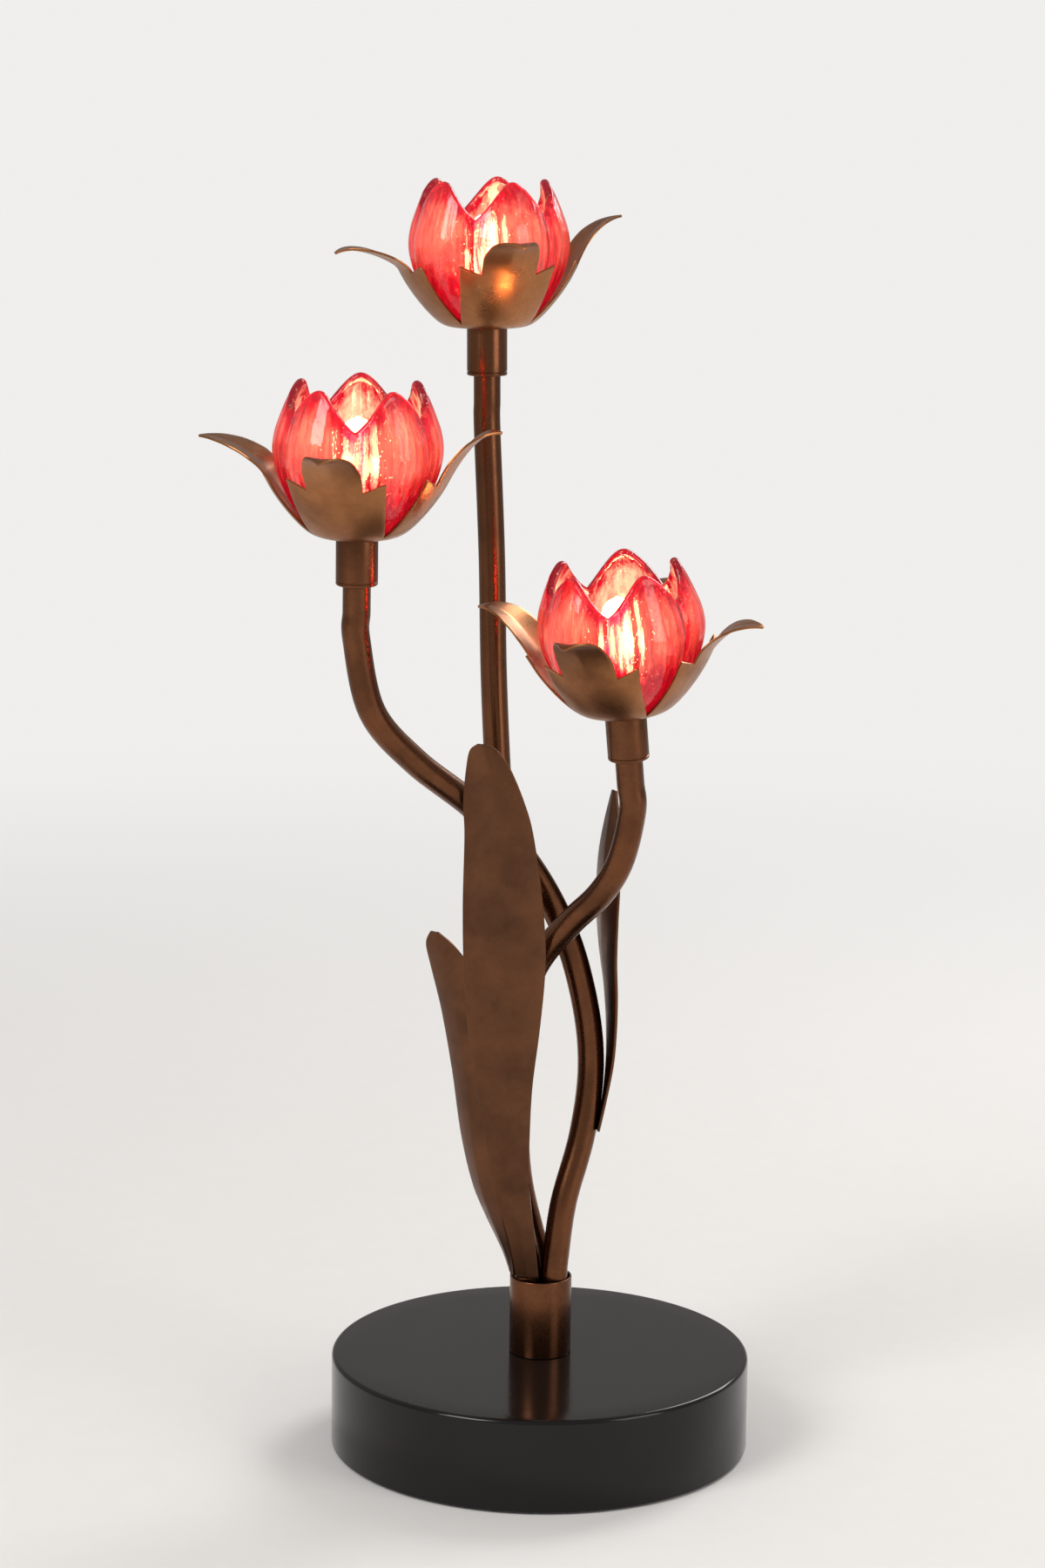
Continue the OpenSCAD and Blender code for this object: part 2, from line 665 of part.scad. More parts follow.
module base_shell() {
  out_r = base_d / 2;
  in_r = out_r - base_wall;
  inner_edge = max(base_edge_r - base_wall, 0.5);
  color(BLACK) difference() {
    union() {
      rotate_extrude($fn = 128) polygon(concat(
        [[0, shell_roof], [0, base_h]],
        backwards(edge_arc(out_r, base_h, base_edge_r)),
        [[out_r, skirt_gap], [in_r, skirt_gap]],
        edge_arc(in_r, shell_roof, inner_edge)
      ));
      around(4, post_ring_r, 45) translate([0, 0, weight_z])
        cylinder(d = post_d, h = shell_roof - weight_z + base_top_t / 2);
      translate([earth_x, 0, shell_roof - earth_boss_h])
        cylinder(d = earth_boss_d, h = earth_boss_h + base_top_t / 2);
    }
    translate([0, 0, shell_roof - 1]) cylinder(r = trunk_tube_r + pass_gap, h = base_top_t + 2);
    around(4, post_ring_r, 45) translate([0, 0, weight_z - 1])
      cylinder(r = screw_d / 2 + thread_gap, h = plate_screw_len + 1);
    translate([earth_x, 0, shell_roof - earth_boss_h - 1])
      cylinder(r = screw_d / 2 + thread_gap, h = earth_boss_h);
    translate([0, 0, inlet_h]) rotate([-90, 0, 0])
      cylinder(r = bushing_neck_r + thread_gap, h = out_r + 1);
  }
}

// Bushing in the drum's rear, with a flange on each side of the wall
module cord_bushing() {
  out_y = base_d / 2;
  flange_r = bushing_neck_r + bushing_rim;
  inner = out_y - base_wall - bushing_flange_t - 1;
  color("black") difference() {
    translate([0, 0, inlet_h]) rotate([-90, 0, 0]) {
      translate([0, 0, inner]) cylinder(r = bushing_neck_r, h = out_y + bushing_flange_t - inner);
      translate([0, 0, inner]) cylinder(r = flange_r, h = bushing_flange_t);
      translate([0, 0, out_y]) cylinder(r = flange_r, h = bushing_flange_t);
    }
    translate([0, 0, inlet_h]) rotate([-90, 0, 0])
      translate([0, 0, inner - 1]) cylinder(r = bushing_bore_r, h = out_y);
  }
}

module base_weight() {
  color("dimgray") difference() {
    translate([0, 0, weight_z]) pipe(weight_r, weight_bore_d / 2, weight_h);
    around(3, inner_ring_r, 90) translate([0, 0, weight_z - 1])
      cylinder(r = screw_d / 2 + thread_gap, h = weight_screw_len + 1);
  }
}

module bottom_plate() {
  color(STEEL) difference() {
    translate([0, 0, plate_z]) cylinder(r = base_d / 2 - base_wall - pass_gap, h = plate_t);
    around(4, post_ring_r, 45) translate([0, 0, plate_z - 1])
      cylinder(r = screw_d / 2 + pass_gap, h = plate_t + 2);
    around(3, inner_ring_r, 90) translate([0, 0, plate_z - 1])
      cylinder(r = screw_d / 2 + pass_gap, h = plate_t + 2);
    translate([0, block_y, plate_z - 1]) cylinder(r = screw_d / 2 + pass_gap, h = plate_t + 2);
  }
}

module plate_screws() {
  color(STEEL) around(4, post_ring_r, 45) translate([0, 0, plate_z])
    pan_screw(plate_screw_len);
}
module weight_screws() {
  color(STEEL) around(3, inner_ring_r, 90) translate([0, 0, plate_z])
    pan_screw(weight_screw_len);
}
module block_screw() {
  color(STEEL) translate([0, block_y, plate_z]) pan_screw(block_screw_len);
}
block_screw_len = plate_t + 5;

module felt_pad() {
  color([0.12, 0.12, 0.12]) pipe(weight_r, pad_bore_r, pad_t);
}

// Terminal block: three lead holes between two rows of screws, and an earth hole
module at_poles(y) {
  for (pole = [-1 : 1])
    translate([pole * pole_pitch, block_y + y, 0]) children();
}
screw_row = lead_d / 2 + terminal_screw_d / 2 + 1.6;
earth_hole = [-pole_pitch / 2 * 3 + 0.2, block_y];
module terminal_block() {
  color(PLASTIC) difference() {
    translate([-block_size[0] / 2, block_y - block_size[1] / 2, block_z]) cube(block_size);
    at_poles(0) translate([0, 0, wire_z]) cylinder(r = lead_d / 2 + pass_gap, h = block_size[2]);
    for (y = [-screw_row, screw_row])
      at_poles(y) translate([0, 0, block_top - 4])
        cylinder(r = terminal_screw_d / 2 + thread_gap, h = block_size[2]);
    translate([earth_hole[0], earth_hole[1], wire_z])
      cylinder(r = earth_lead_d / 2 + pass_gap, h = block_size[2]);
    translate([0, block_y, block_z - 1]) cylinder(r = screw_d / 2 + thread_gap, h = 6);
  }
}
module terminal_screws() {
  color(BRASS) for (y = [-screw_row, screw_row])
    at_poles(y) translate([0, 0, block_top - 4]) cylinder(d = terminal_screw_d, h = 4.5);
}

// Earth screw and lug under the drum's top, wired to the terminal block
lug_z = shell_roof - earth_boss_h - lug_t;
module earth_screw() {
  color(STEEL) translate([earth_x, 0, lug_z]) pan_screw(earth_boss_h - 1);
}
module earth_lug() {
  color(BRASS) difference() {
    union() {
      translate([earth_x, 0, lug_z]) cylinder(d = earth_boss_d - 1, h = lug_t);
      translate([earth_x, -earth_lead_d, lug_z]) cube([11, 2 * earth_lead_d, lug_t]);
    }
    translate([earth_x, 0, lug_z - 1]) cylinder(r = screw_d / 2 + pass_gap, h = lug_t + 2);
  }
}
module earth_lead() {
  color("limegreen") solid_tube(smooth([
    [earth_x + 8, 0, lug_z - earth_lead_d / 2 - seam_gap],
    [earth_x + 12, 0, lug_z - earth_lead_d / 2 - 5 * seam_gap],
    [earth_x + 16, 1, lug_z - 4], [earth_hole[0], block_y, block_top + 5],
    [earth_hole[0], block_y, block_top + 2], [earth_hole[0], block_y, wire_z]
  ], 3), earth_lead_d / 2, 8);
}

// ---------- nodes ----------

base_shell();
base_weight();
weight_screws();
bottom_plate();
plate_screws();
felt_pad();
cord_bushing();
trunk_tube();
trunk_washer();
trunk_nut();
terminal_block();
terminal_screws();
block_screw();
earth_screw();
earth_lug();
earth_lead();
stem_collar();
top_stem();
left_stem();
right_stem();
tall_leaf();
left_leaf();
right_leaf();
shade(TOP);  // top_shade
calyx(TOP);  // top_calyx
socket_cup(TOP);  // top_socket_cup
lamp_holder(TOP);  // top_lamp_holder
shade_ring(TOP);  // top_shade_ring
nipple(TOP);  // top_nipple
lock_nut(TOP);  // top_lock_nut
top_lead();
bulb_glass(TOP);  // top_bulb_glass
bulb_core(TOP);  // top_bulb_core
bulb_base(TOP);  // top_bulb_base
bulb_pins(TOP);  // top_bulb_pins
shade(LEFT);  // left_shade
calyx(LEFT);  // left_calyx
socket_cup(LEFT);  // left_socket_cup
lamp_holder(LEFT);  // left_lamp_holder
shade_ring(LEFT);  // left_shade_ring
nipple(LEFT);  // left_nipple
lock_nut(LEFT);  // left_lock_nut
left_lead();
bulb_glass(LEFT);  // left_bulb_glass
bulb_core(LEFT);  // left_bulb_core
bulb_base(LEFT);  // left_bulb_base
bulb_pins(LEFT);  // left_bulb_pins
shade(RIGHT);  // right_shade
calyx(RIGHT);  // right_calyx
socket_cup(RIGHT);  // right_socket_cup
lamp_holder(RIGHT);  // right_lamp_holder
shade_ring(RIGHT);  // right_shade_ring
nipple(RIGHT);  // right_nipple
lock_nut(RIGHT);  // right_lock_nut
right_lead();
bulb_glass(RIGHT);  // right_bulb_glass
bulb_core(RIGHT);  // right_bulb_core
bulb_base(RIGHT);  // right_bulb_base
bulb_pins(RIGHT);  // right_bulb_pins
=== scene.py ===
"""Table lamp with three lit glass tulips on bent bronze tube stems, dressed around the
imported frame. Lengths are written in millimetres and scaled to metres as each mesh is
placed. -Y is the front and +Z is up, as in the frame."""

import json
import math

import bpy
from mathutils import Matrix, Vector


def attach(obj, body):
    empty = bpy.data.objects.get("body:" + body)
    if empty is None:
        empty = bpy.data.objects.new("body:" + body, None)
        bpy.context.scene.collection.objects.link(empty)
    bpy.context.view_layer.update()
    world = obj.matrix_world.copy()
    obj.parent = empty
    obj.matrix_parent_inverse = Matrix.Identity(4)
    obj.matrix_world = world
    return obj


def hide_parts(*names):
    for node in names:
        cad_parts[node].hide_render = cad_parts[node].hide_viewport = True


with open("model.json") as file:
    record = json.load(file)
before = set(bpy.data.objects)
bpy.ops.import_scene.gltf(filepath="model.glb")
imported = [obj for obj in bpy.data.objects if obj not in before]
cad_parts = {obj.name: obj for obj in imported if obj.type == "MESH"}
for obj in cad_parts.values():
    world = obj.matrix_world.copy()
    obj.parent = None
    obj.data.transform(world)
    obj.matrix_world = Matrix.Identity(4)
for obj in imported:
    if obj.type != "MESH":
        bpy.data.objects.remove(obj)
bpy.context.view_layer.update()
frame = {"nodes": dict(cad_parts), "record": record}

MM = 0.001
LAMP = "lamp"
FULL_TURN = 2 * math.pi

# ---------- the lamp's sizes, as in the part ----------

BASE_R, BASE_H, SKIRT_GAP = 95.0, 43.0, 1.0
SHELL_WALL, SHELL_TOP, SHELL_EDGE = 1.5, 2.0, 2.0
INLET_R, INLET_H, BUSHING_WALL, BUSHING_GAP, DRILL_L = 3.6, 31.0, 1.5, 0.1, 20.0
COLLAR_H, COLLAR_FLOOR, COLLAR_WALL = 36.0, 8.0, 0.9
TRUNK_TUBE_R, TRUNK_TUBE_GAP, ROOF_HOLE_GAP = 8.0, 0.1, 0.3
POST_R, POST_BORE_R, POST_FOOT, POST_GAP, POSTS = 4.0, 1.6, 3.5, 5.5, 4
STEM_R, STEM_WALL, SEAM = 6.0, 1.0, 0.1
STEM_LIFT, NIPPLE_GRIP = 9.0, 11.0
CUP_R, CUP_H, CUP_WALL = 9.0, 21.5, 1.0
CALYX_T, LEAF_T = 1.0, 1.2
SHADE_R, SHADE_H, PETAL_CUT = 37.0, 64.0, 16.0
GLASS_T, GLASS_FLOOR, PETALS = 4.0, 3.5, 5
HOLDER_R, HOLDER_RISE = 7.7, 3.0
BULB_R, CAPSULE_H, CAPSULE_T, BULB_BASE_H = 7.0, 37.0, 0.8, 6.0
SEAT_GAP = 0.3

TRUNK_Z = BASE_H + COLLAR_H
BUNDLE_R = (2 * STEM_R + 2 * SEAM) / math.sqrt(3)
COLLAR_BORE = BUNDLE_R + STEM_R + SEAM
STEM_FOOT_Z = BASE_H + COLLAR_FLOOR + STEM_LIFT
SEAT_Z = CUP_H + CALYX_T
BULB_Z = SEAT_Z + GLASS_FLOOR + HOLDER_RISE + SEAT_GAP
CAPSULE_Z = BULB_Z + BULB_BASE_H

# Each tongue is (tip radius, tip height, crest radius, crest height) above the seat
HEADS = {
    "top": {
        "foot": (-29, 42, TRUNK_Z + 405), "forward": 0.6, "lean": -0.6,
        "flap_turn": 15, "petal_turn": 80,
        "tongues": [(64, 38.5, 53, 44.5), (62, 47.5, 46, 46), (68, 44, 55, 46), (69, 33, 61, 39)],
    },
    "left": {
        "foot": (-82.4, -63, TRUNK_Z + 325), "forward": 4.6, "lean": 0.4,
        "flap_turn": -12, "petal_turn": 90,
        "tongues": [(64, 41.5, 54, 47.5), (62, 46.5, 50, 49), (66, 42, 54, 45),
                    (69.5, 38, 56, 39.5)],
    },
    "right": {
        "foot": (34.7, -50, TRUNK_Z + 249), "forward": 6.7, "lean": -5.1,
        "flap_turn": -22, "petal_turn": 80,
        "tongues": [(65, 45, 53, 51), (65, 38.5, 51.5, 43), (66, 40, 55, 43),
                    (64.5, 44, 50.5, 48)],
    },
}


def head_matrix(head):
    """Places what is modelled upright on the flower's foot, in metres"""
    foot = Vector(head["foot"]) * MM
    turn = Matrix.Rotation(math.radians(head["lean"]), 4, "Y")
    tip = Matrix.Rotation(math.radians(head["forward"]), 4, "X")
    return Matrix.Translation(foot) @ turn @ tip


def along(head, height):
    """A point on the flower's axis, in millimetres"""
    return (head_matrix(head) @ Vector((0, 0, height * MM))) / MM


# ---------- curves ----------


def smooth(points, steps):
    """A smooth curve through its points, with this many steps from each to the next"""
    curve = []
    for i in range(len(points) - 1):
        a, b = points[max(i - 1, 0)], points[i]
        c, d = points[i + 1], points[min(i + 2, len(points) - 1)]
        for k in range(steps):
            t = k / steps
            curve.append(tuple(
                0.5 * (2 * q + (r - p) * t + (2 * p - 5 * q + 4 * r - s) * t ** 2
                       + (3 * q - p - 3 * r + s) * t ** 3)
                for p, q, r, s in zip(a, b, c, d)))
    curve.append(tuple(points[-1]))
    return curve


def lookup(table, x):
    """Straight-line value at x in a table of (x, value)"""
    if x <= table[0][0]:
        return table[0][1]
    for (x0, y0), (x1, y1) in zip(table, table[1:]):
        if x <= x1:
            return y0 + (y1 - y0) * (x - x0) / (x1 - x0)
    return table[-1][1]


def ease(t):
    """Soft step from 0 to 1 as t goes from 0 to 1"""
    t = max(0.0, min(1.0, t))
    return t * t * (3 - 2 * t)


def heading(points, i):
    """Direction of a path at its point i"""
    before, after = points[max(i - 1, 0)], points[min(i + 1, len(points) - 1)]
    return (Vector(after[:3]) - Vector(before[:3])).normalized()


# ---------- modelling ----------


def deselect():
    """Leaves edit mode and selects nothing"""
    active = bpy.context.view_layer.objects.active
    if active and active.mode != "OBJECT":
        bpy.ops.object.mode_set(mode="OBJECT")
    bpy.ops.object.select_all(action="DESELECT")


def take(obj):
    """Makes obj the only one selected"""
    deselect()
    obj.select_set(True)
    bpy.context.view_layer.objects.active = obj


WELD_GAP = 0.004


def weld(obj):
    """Joins doubled points, clears what is loose and turns the faces outwards"""
    take(obj)
    bpy.ops.object.mode_set(mode="EDIT")
    bpy.ops.mesh.select_all(action="SELECT")
    bpy.ops.mesh.remove_doubles(threshold=WELD_GAP * MM)
    bpy.ops.mesh.delete_loose()
    bpy.ops.mesh.select_all(action="SELECT")
    bpy.ops.mesh.normals_make_consistent(inside=False)
    bpy.ops.object.mode_set(mode="OBJECT")


def sheet(name, rows, columns, spot, keep=None):
    """A grid whose points are put, row by row, where spot(row, column) says"""
    deselect()
    bpy.ops.mesh.primitive_grid_add(x_subdivisions=columns - 1, y_subdivisions=rows - 1, size=MM)
    obj = bpy.context.active_object
    obj.name = obj.data.name = name
    for i, vertex in enumerate(obj.data.vertices):
        vertex.co = Vector(spot(i // columns, i % columns)) * MM
        vertex.select = keep is not None and not keep(i // columns, i % columns)
    if keep:
        for part in (*obj.data.edges, *obj.data.polygons):
            part.select = False
        bpy.ops.object.mode_set(mode="EDIT")
        bpy.ops.mesh.delete(type="VERT")
        bpy.ops.object.mode_set(mode="OBJECT")
    return obj


def lathe(name, outline, steps):
    """A circle bent into a closed outline of (radius, height), spun about the upright axis"""
    deselect()
    bpy.ops.mesh.primitive_circle_add(vertices=len(outline), radius=MM)
    obj = bpy.context.active_object
    obj.name = obj.data.name = name
    for vertex, (radius, height) in zip(obj.data.vertices, outline):
        vertex.co = (radius * MM, 0, height * MM)
    bpy.ops.object.mode_set(mode="EDIT")
    bpy.ops.mesh.select_all(action="SELECT")
    bpy.ops.mesh.spin(steps=steps, angle=FULL_TURN, center=(0, 0, 0), axis=(0, 0, 1))
    bpy.ops.object.mode_set(mode="OBJECT")
    weld(obj)
    return obj


def modify(obj, kind, **values):
    """Adds a modifier with these values and applies it"""
    take(obj)
    modifier = obj.modifiers.new(kind.title(), kind)
    for key, value in values.items():
        setattr(modifier, key, value)
    bpy.ops.object.modifier_apply(modifier=modifier.name)


def merge(name, parts):
    """Joins parts into the first one"""
    deselect()
    for part in parts:
        part.select_set(True)
    bpy.context.view_layer.objects.active = parts[0]
    bpy.ops.object.join()
    obj = bpy.context.active_object
    obj.name = obj.data.name = name
    return obj


def shade(obj, angle):
    """Smooth shading, but for edges that turn by more than this angle"""
    take(obj)
    bpy.ops.object.shade_smooth_by_angle(angle=math.radians(angle))


def dress(obj, material):
    """Gives obj one material over all its faces"""
    obj.data.materials.clear()
    obj.data.materials.append(material)


def arc(centre, radius, start, end, steps):
    """Points (radius, height) on an arc in the upright section"""
    return [
        (centre[0] + radius * math.cos(math.radians(start + (end - start) * k / steps)),
         centre[1] + radius * math.sin(math.radians(start + (end - start) * k / steps)))
        for k in range(steps + 1)
    ]


# ---------- materials ----------

# Points along a shade's section: outside, over the rim and inside, and where the rim lies
OUTER_ROWS, CAP_ROWS, INNER_ROWS = 34, 8, 30
RIM_U = (1 + OUTER_ROWS + CAP_ROWS / 2) / (OUTER_ROWS + CAP_ROWS + INNER_ROWS + 4)


class Nodes:
    """Short hand for a node tree"""

    def __init__(self, tree):
        self.tree = tree

    def add(self, kind, **values):
        node = self.tree.nodes.new(kind)
        for key, value in values.items():
            setattr(node, key, value)
        return node

    def link(self, source, target):
        self.tree.links.new(source, target)

    def put(self, socket, value):
        """A socket gets a link from another socket, or a plain value"""
        if isinstance(value, bpy.types.NodeSocket):
            self.link(value, socket)
        else:
            socket.default_value = value

    def math(self, operation, a, b=0.0, clamp=False):
        """One sum, of sockets or plain numbers"""
        node = self.add("ShaderNodeMath", operation=operation, use_clamp=clamp)
        self.put(node.inputs[0], a)
        self.put(node.inputs[1], b)
        return node.outputs[0]

    def blend(self, factor, a, b, mode="MIX"):
        """Colour a that turns into colour b with the factor"""
        node = self.add("ShaderNodeMix", data_type="RGBA", blend_type=mode)
        self.put(node.inputs["Factor"], factor)
        self.put(node.inputs[6], a)
        self.put(node.inputs[7], b)
        return node.outputs[2]

    def ramp(self, value, low, high, to_low=0.0, to_high=1.0):
        """Soft ramp from to_low at low to to_high at high"""
        node = self.add("ShaderNodeMapRange")
        node.interpolation_type = "SMOOTHSTEP"
        for socket, number in zip(node.inputs, (value, low, high, to_low, to_high)):
            self.put(socket, number)
        return node.outputs[0]

    def spots(self, stretch=(1, 1, 1)):
        """Object coordinates, stretched by these scales"""
        source = self.add("ShaderNodeTexCoord").outputs["Object"]
        node = self.add("ShaderNodeMapping")
        self.link(source, node.inputs["Vector"])
        node.inputs["Scale"].default_value = stretch
        return node.outputs[0]

    def rise(self, seat, axis):
        """Height of a point above a seat, measured along the flower's axis"""
        offset = self.add("ShaderNodeVectorMath", operation="SUBTRACT")
        self.link(self.add("ShaderNodeTexCoord").outputs["Object"], offset.inputs[0])
        self.put(offset.inputs[1], seat)
        up = self.add("ShaderNodeVectorMath", operation="DOT_PRODUCT")
        self.link(offset.outputs[0], up.inputs[0])
        self.put(up.inputs[1], axis)
        return up.outputs["Value"]

    def noise(self, vector, scale, detail=4.0, roughness=0.5):
        node = self.add("ShaderNodeTexNoise")
        self.link(vector, node.inputs["Vector"])
        self.put(node.inputs["Scale"], scale)
        self.put(node.inputs["Detail"], detail)
        self.put(node.inputs["Roughness"], roughness)
        return node.outputs["Fac"]


def group(name, inputs, outputs):
    """A new node group with its named sockets"""
    tree = bpy.data.node_groups.new(name, "ShaderNodeTree")
    kinds = {"color": "NodeSocketColor", "value": "NodeSocketFloat", "vector": "NodeSocketVector"}
    for socket, (kind, value) in inputs.items():
        made = tree.interface.new_socket(name=socket, in_out="INPUT", socket_type=kinds[kind])
        made.default_value = value
    for socket, kind in outputs.items():
        tree.interface.new_socket(name=socket, in_out="OUTPUT", socket_type=kinds[kind])
    n = Nodes(tree)
    return n, n.add("NodeGroupInput").outputs, n.add("NodeGroupOutput").inputs


def aged_metal_group():
    """Metal that has darkened in clouds, with fine scratches and a satin grain"""
    n, take_in, give = group(
        "aged_metal",
        {"Colour": ("color", (0.5, 0.3, 0.15, 1)), "Tarnish": ("color", (0.1, 0.05, 0.03, 1)),
         "Amount": ("value", 0.4), "Polish": ("value", 0.3)},
        {"Colour": "color", "Roughness": "value", "Height": "value"})
    cloud = n.noise(n.spots(), 38.0, 6.0, 0.65)
    patch = n.ramp(cloud, 0.30, 0.80)
    grain = n.noise(n.spots(), 900.0, 3.0, 0.6)
    scratch = n.noise(n.spots((1, 1, 0.04)), 1500.0, 2.0, 0.7)
    worn = n.ramp(scratch, 0.55, 0.75)
    amount = n.math("MULTIPLY", patch, take_in["Amount"])
    n.link(n.blend(amount, take_in["Colour"], take_in["Tarnish"]), give["Colour"])
    rough = n.math("ADD", take_in["Polish"], n.math("MULTIPLY", patch, 0.14))
    rough = n.math("ADD", rough, n.math("MULTIPLY", n.math("SUBTRACT", grain, 0.5), 0.16))
    n.link(n.math("ADD", rough, n.math("MULTIPLY", worn, 0.08), clamp=True), give["Roughness"])
    n.link(n.math("ADD", n.math("MULTIPLY", grain, 0.6), n.math("MULTIPLY", worn, -0.5)),
           give["Height"])
    return n.tree


def moulded_group():
    """Fine even grain of moulded, cast and fired parts"""
    n, take_in, give = group(
        "fine_grain",
        {"Colour": ("color", (0.8, 0.8, 0.8, 1)), "Depth": ("value", 0.1),
         "Rough": ("value", 0.5), "Scale": ("value", 700.0)},
        {"Colour": "color", "Roughness": "value", "Height": "value"})
    grain = n.noise(n.spots(), take_in["Scale"], 4.0, 0.6)
    cloud = n.noise(n.spots(), 30.0, 3.0, 0.5)
    # Random darker clouds in the material's own tone, not shade
    mottle = n.math("MULTIPLY", n.ramp(cloud, 0.3, 0.7), take_in["Depth"])
    dark = n.blend(1.0, take_in["Colour"], (0.6, 0.58, 0.55, 1), "MULTIPLY")
    n.link(n.blend(mottle, take_in["Colour"], dark), give["Colour"])
    n.link(n.math("ADD", take_in["Rough"], n.math("MULTIPLY", n.math("SUBTRACT", grain, 0.5), 0.2),
                  clamp=True), give["Roughness"])
    n.link(grain, give["Height"])
    return n.tree


def lit_glass_group():
    """Colours of red glass with the bulb's light and shade painted in: pale at the middle of
    each petal as painted bulb light, painted deep-red shade in the grooves, at the rim and
    towards the seat, with vertical streaks and seeds of air that also get painted glints.
    The inner face gets the full painted glow that stands in for the bulb's light, the outer
    face a faint dark-red one. The sheet's own coordinates run along the section (U)
    and around the shade (V)."""
    n, take_in, give = group(
        "lit_glass",
        {"Seat": ("vector", (0, 0, 0)), "Axis": ("vector", (0, 0, 1))},
        {"Colour": "color", "Glow": "color", "Roughness": "value", "Height": "value"})
    # Painted shade: deeper red towards the seat, fading out 40 mm above it
    low = n.ramp(n.rise(take_in["Seat"], take_in["Axis"]), 0.012, 0.040, 1.0, 0.0)
    sheet_uv = n.add("ShaderNodeSeparateXYZ")
    n.link(n.add("ShaderNodeTexCoord").outputs["UV"], sheet_uv.inputs[0])
    # Painted shade: the grooves between the petals and the band along the rim are painted deeper
    # red
    around = n.math("FRACT", n.math("ADD", n.math("MULTIPLY", sheet_uv.outputs[1], PETALS), 0.5))
    aside = n.math("ABSOLUTE", n.math("SUBTRACT", around, 0.5))
    groove = n.ramp(aside, 0.24, 0.48, 0.0, 0.6)
    from_rim = n.math("ABSOLUTE", n.math("SUBTRACT", sheet_uv.outputs[0], RIM_U))
    rim = n.ramp(from_rim, 0.04, 0.15, 1.0, 0.0)
    inner_face = n.ramp(sheet_uv.outputs[0], RIM_U - 0.02, RIM_U + 0.06)
    streak = n.noise(n.spots((1, 1, 0.10)), 430.0, 3.0, 0.55)
    broad = n.noise(n.spots((1, 1, 0.35)), 90.0, 4.0, 0.6)
    # Painted shade at grooves, rim and seat, mixed with the glass's own streaky, cloudy tone
    deep = n.math("MAXIMUM", n.math("MAXIMUM", groove, rim), low)
    deep = n.math("ADD", deep, n.math("MULTIPLY", n.math("SUBTRACT", streak, 0.5), 2.2))
    deep = n.math("ADD", deep, n.math("MULTIPLY", n.math("SUBTRACT", broad, 0.4), 1.3),
                  clamp=True)
    seeds = n.add("ShaderNodeTexVoronoi")
    seeds.inputs["Scale"].default_value = 430.0
    n.link(n.spots(), seeds.inputs["Vector"])
    seed = n.ramp(seeds.outputs["Distance"], 0.07, 0.19, 1.0, 0.0)
    # Pale where nothing is deep: painted bulb light; crimson: painted shade and the glass's own
    # tone
    body = n.blend(deep, (0.97, 0.56, 0.42, 1), (0.62, 0.008, 0.04, 1))
    n.link(n.blend(n.math("MULTIPLY", seed, 0.8), body, (1.0, 0.85, 0.7, 1)), give["Colour"])
    # Painted glow for the bulb's light: warm at each petal's middle, dark red where shade is
    # painted, with painted glints at the seeds, full on the inner face only
    glow = n.blend(deep, (1.0, 0.76, 0.40, 1), (0.24, 0.001, 0.014, 1))
    glow = n.blend(n.math("MULTIPLY", seed, 0.8), glow, (1.0, 0.75, 0.5, 1))
    n.link(n.blend(inner_face, (0.16, 0.004, 0.014, 1), glow), give["Glow"])
    n.link(n.ramp(broad, 0.3, 0.8, 0.03, 0.12), give["Roughness"])
    n.link(n.math("ADD", n.math("MULTIPLY", streak, 0.6), n.math("MULTIPLY", seed, 0.7)),
           give["Height"])
    return n.tree


AGED_METAL = aged_metal_group()
FINE_GRAIN = moulded_group()
LIT_GLASS = lit_glass_group()


def new_material(name):
    """A material with its nodes and the inputs of its shader"""
    material = bpy.data.materials.new(name)
    material.use_nodes = True
    n = Nodes(material.node_tree)
    return material, n, n.tree.nodes["Principled BSDF"].inputs


def use(n, tree, **values):
    """Places a node group with its own values"""
    node = n.add("ShaderNodeGroup")
    node.node_tree = tree
    for key, value in values.items():
        n.put(node.inputs[key], value)
    return node.outputs


def bump(n, height, shader, strength, distance):
    """Relief from a height, this far deep in metres"""
    node = n.add("ShaderNodeBump")
    node.inputs["Strength"].default_value = strength
    node.inputs["Distance"].default_value = distance
    n.link(height, node.inputs["Height"])
    n.link(node.outputs[0], shader["Normal"])


def metal(name, colour, tarnish, amount, polish, relief=0.06):
    """Metal of a colour, with an amount of tarnish"""
    material, n, shader = new_material(name)
    out = use(n, AGED_METAL, Colour=(*colour, 1), Tarnish=(*tarnish, 1), Amount=amount,
              Polish=polish)
    n.link(out["Colour"], shader["Base Color"])
    n.link(out["Roughness"], shader["Roughness"])
    shader["Metallic"].default_value = 1.0
    bump(n, out["Height"], shader, relief, 0.0002)
    return material


def moulded(name, colour, rough, depth=0.1, scale=700.0, relief=0.1, gloss=0.5):
    """Moulded, cast, fired or lacquered material, with a grain this fine and deep"""
    material, n, shader = new_material(name)
    out = use(n, FINE_GRAIN, Colour=(*colour, 1), Depth=depth, Rough=rough, Scale=scale)
    n.link(out["Colour"], shader["Base Color"])
    n.link(out["Roughness"], shader["Roughness"])
    shader["Specular IOR Level"].default_value = gloss
    bump(n, out["Height"], shader, relief, 0.0002)
    return material


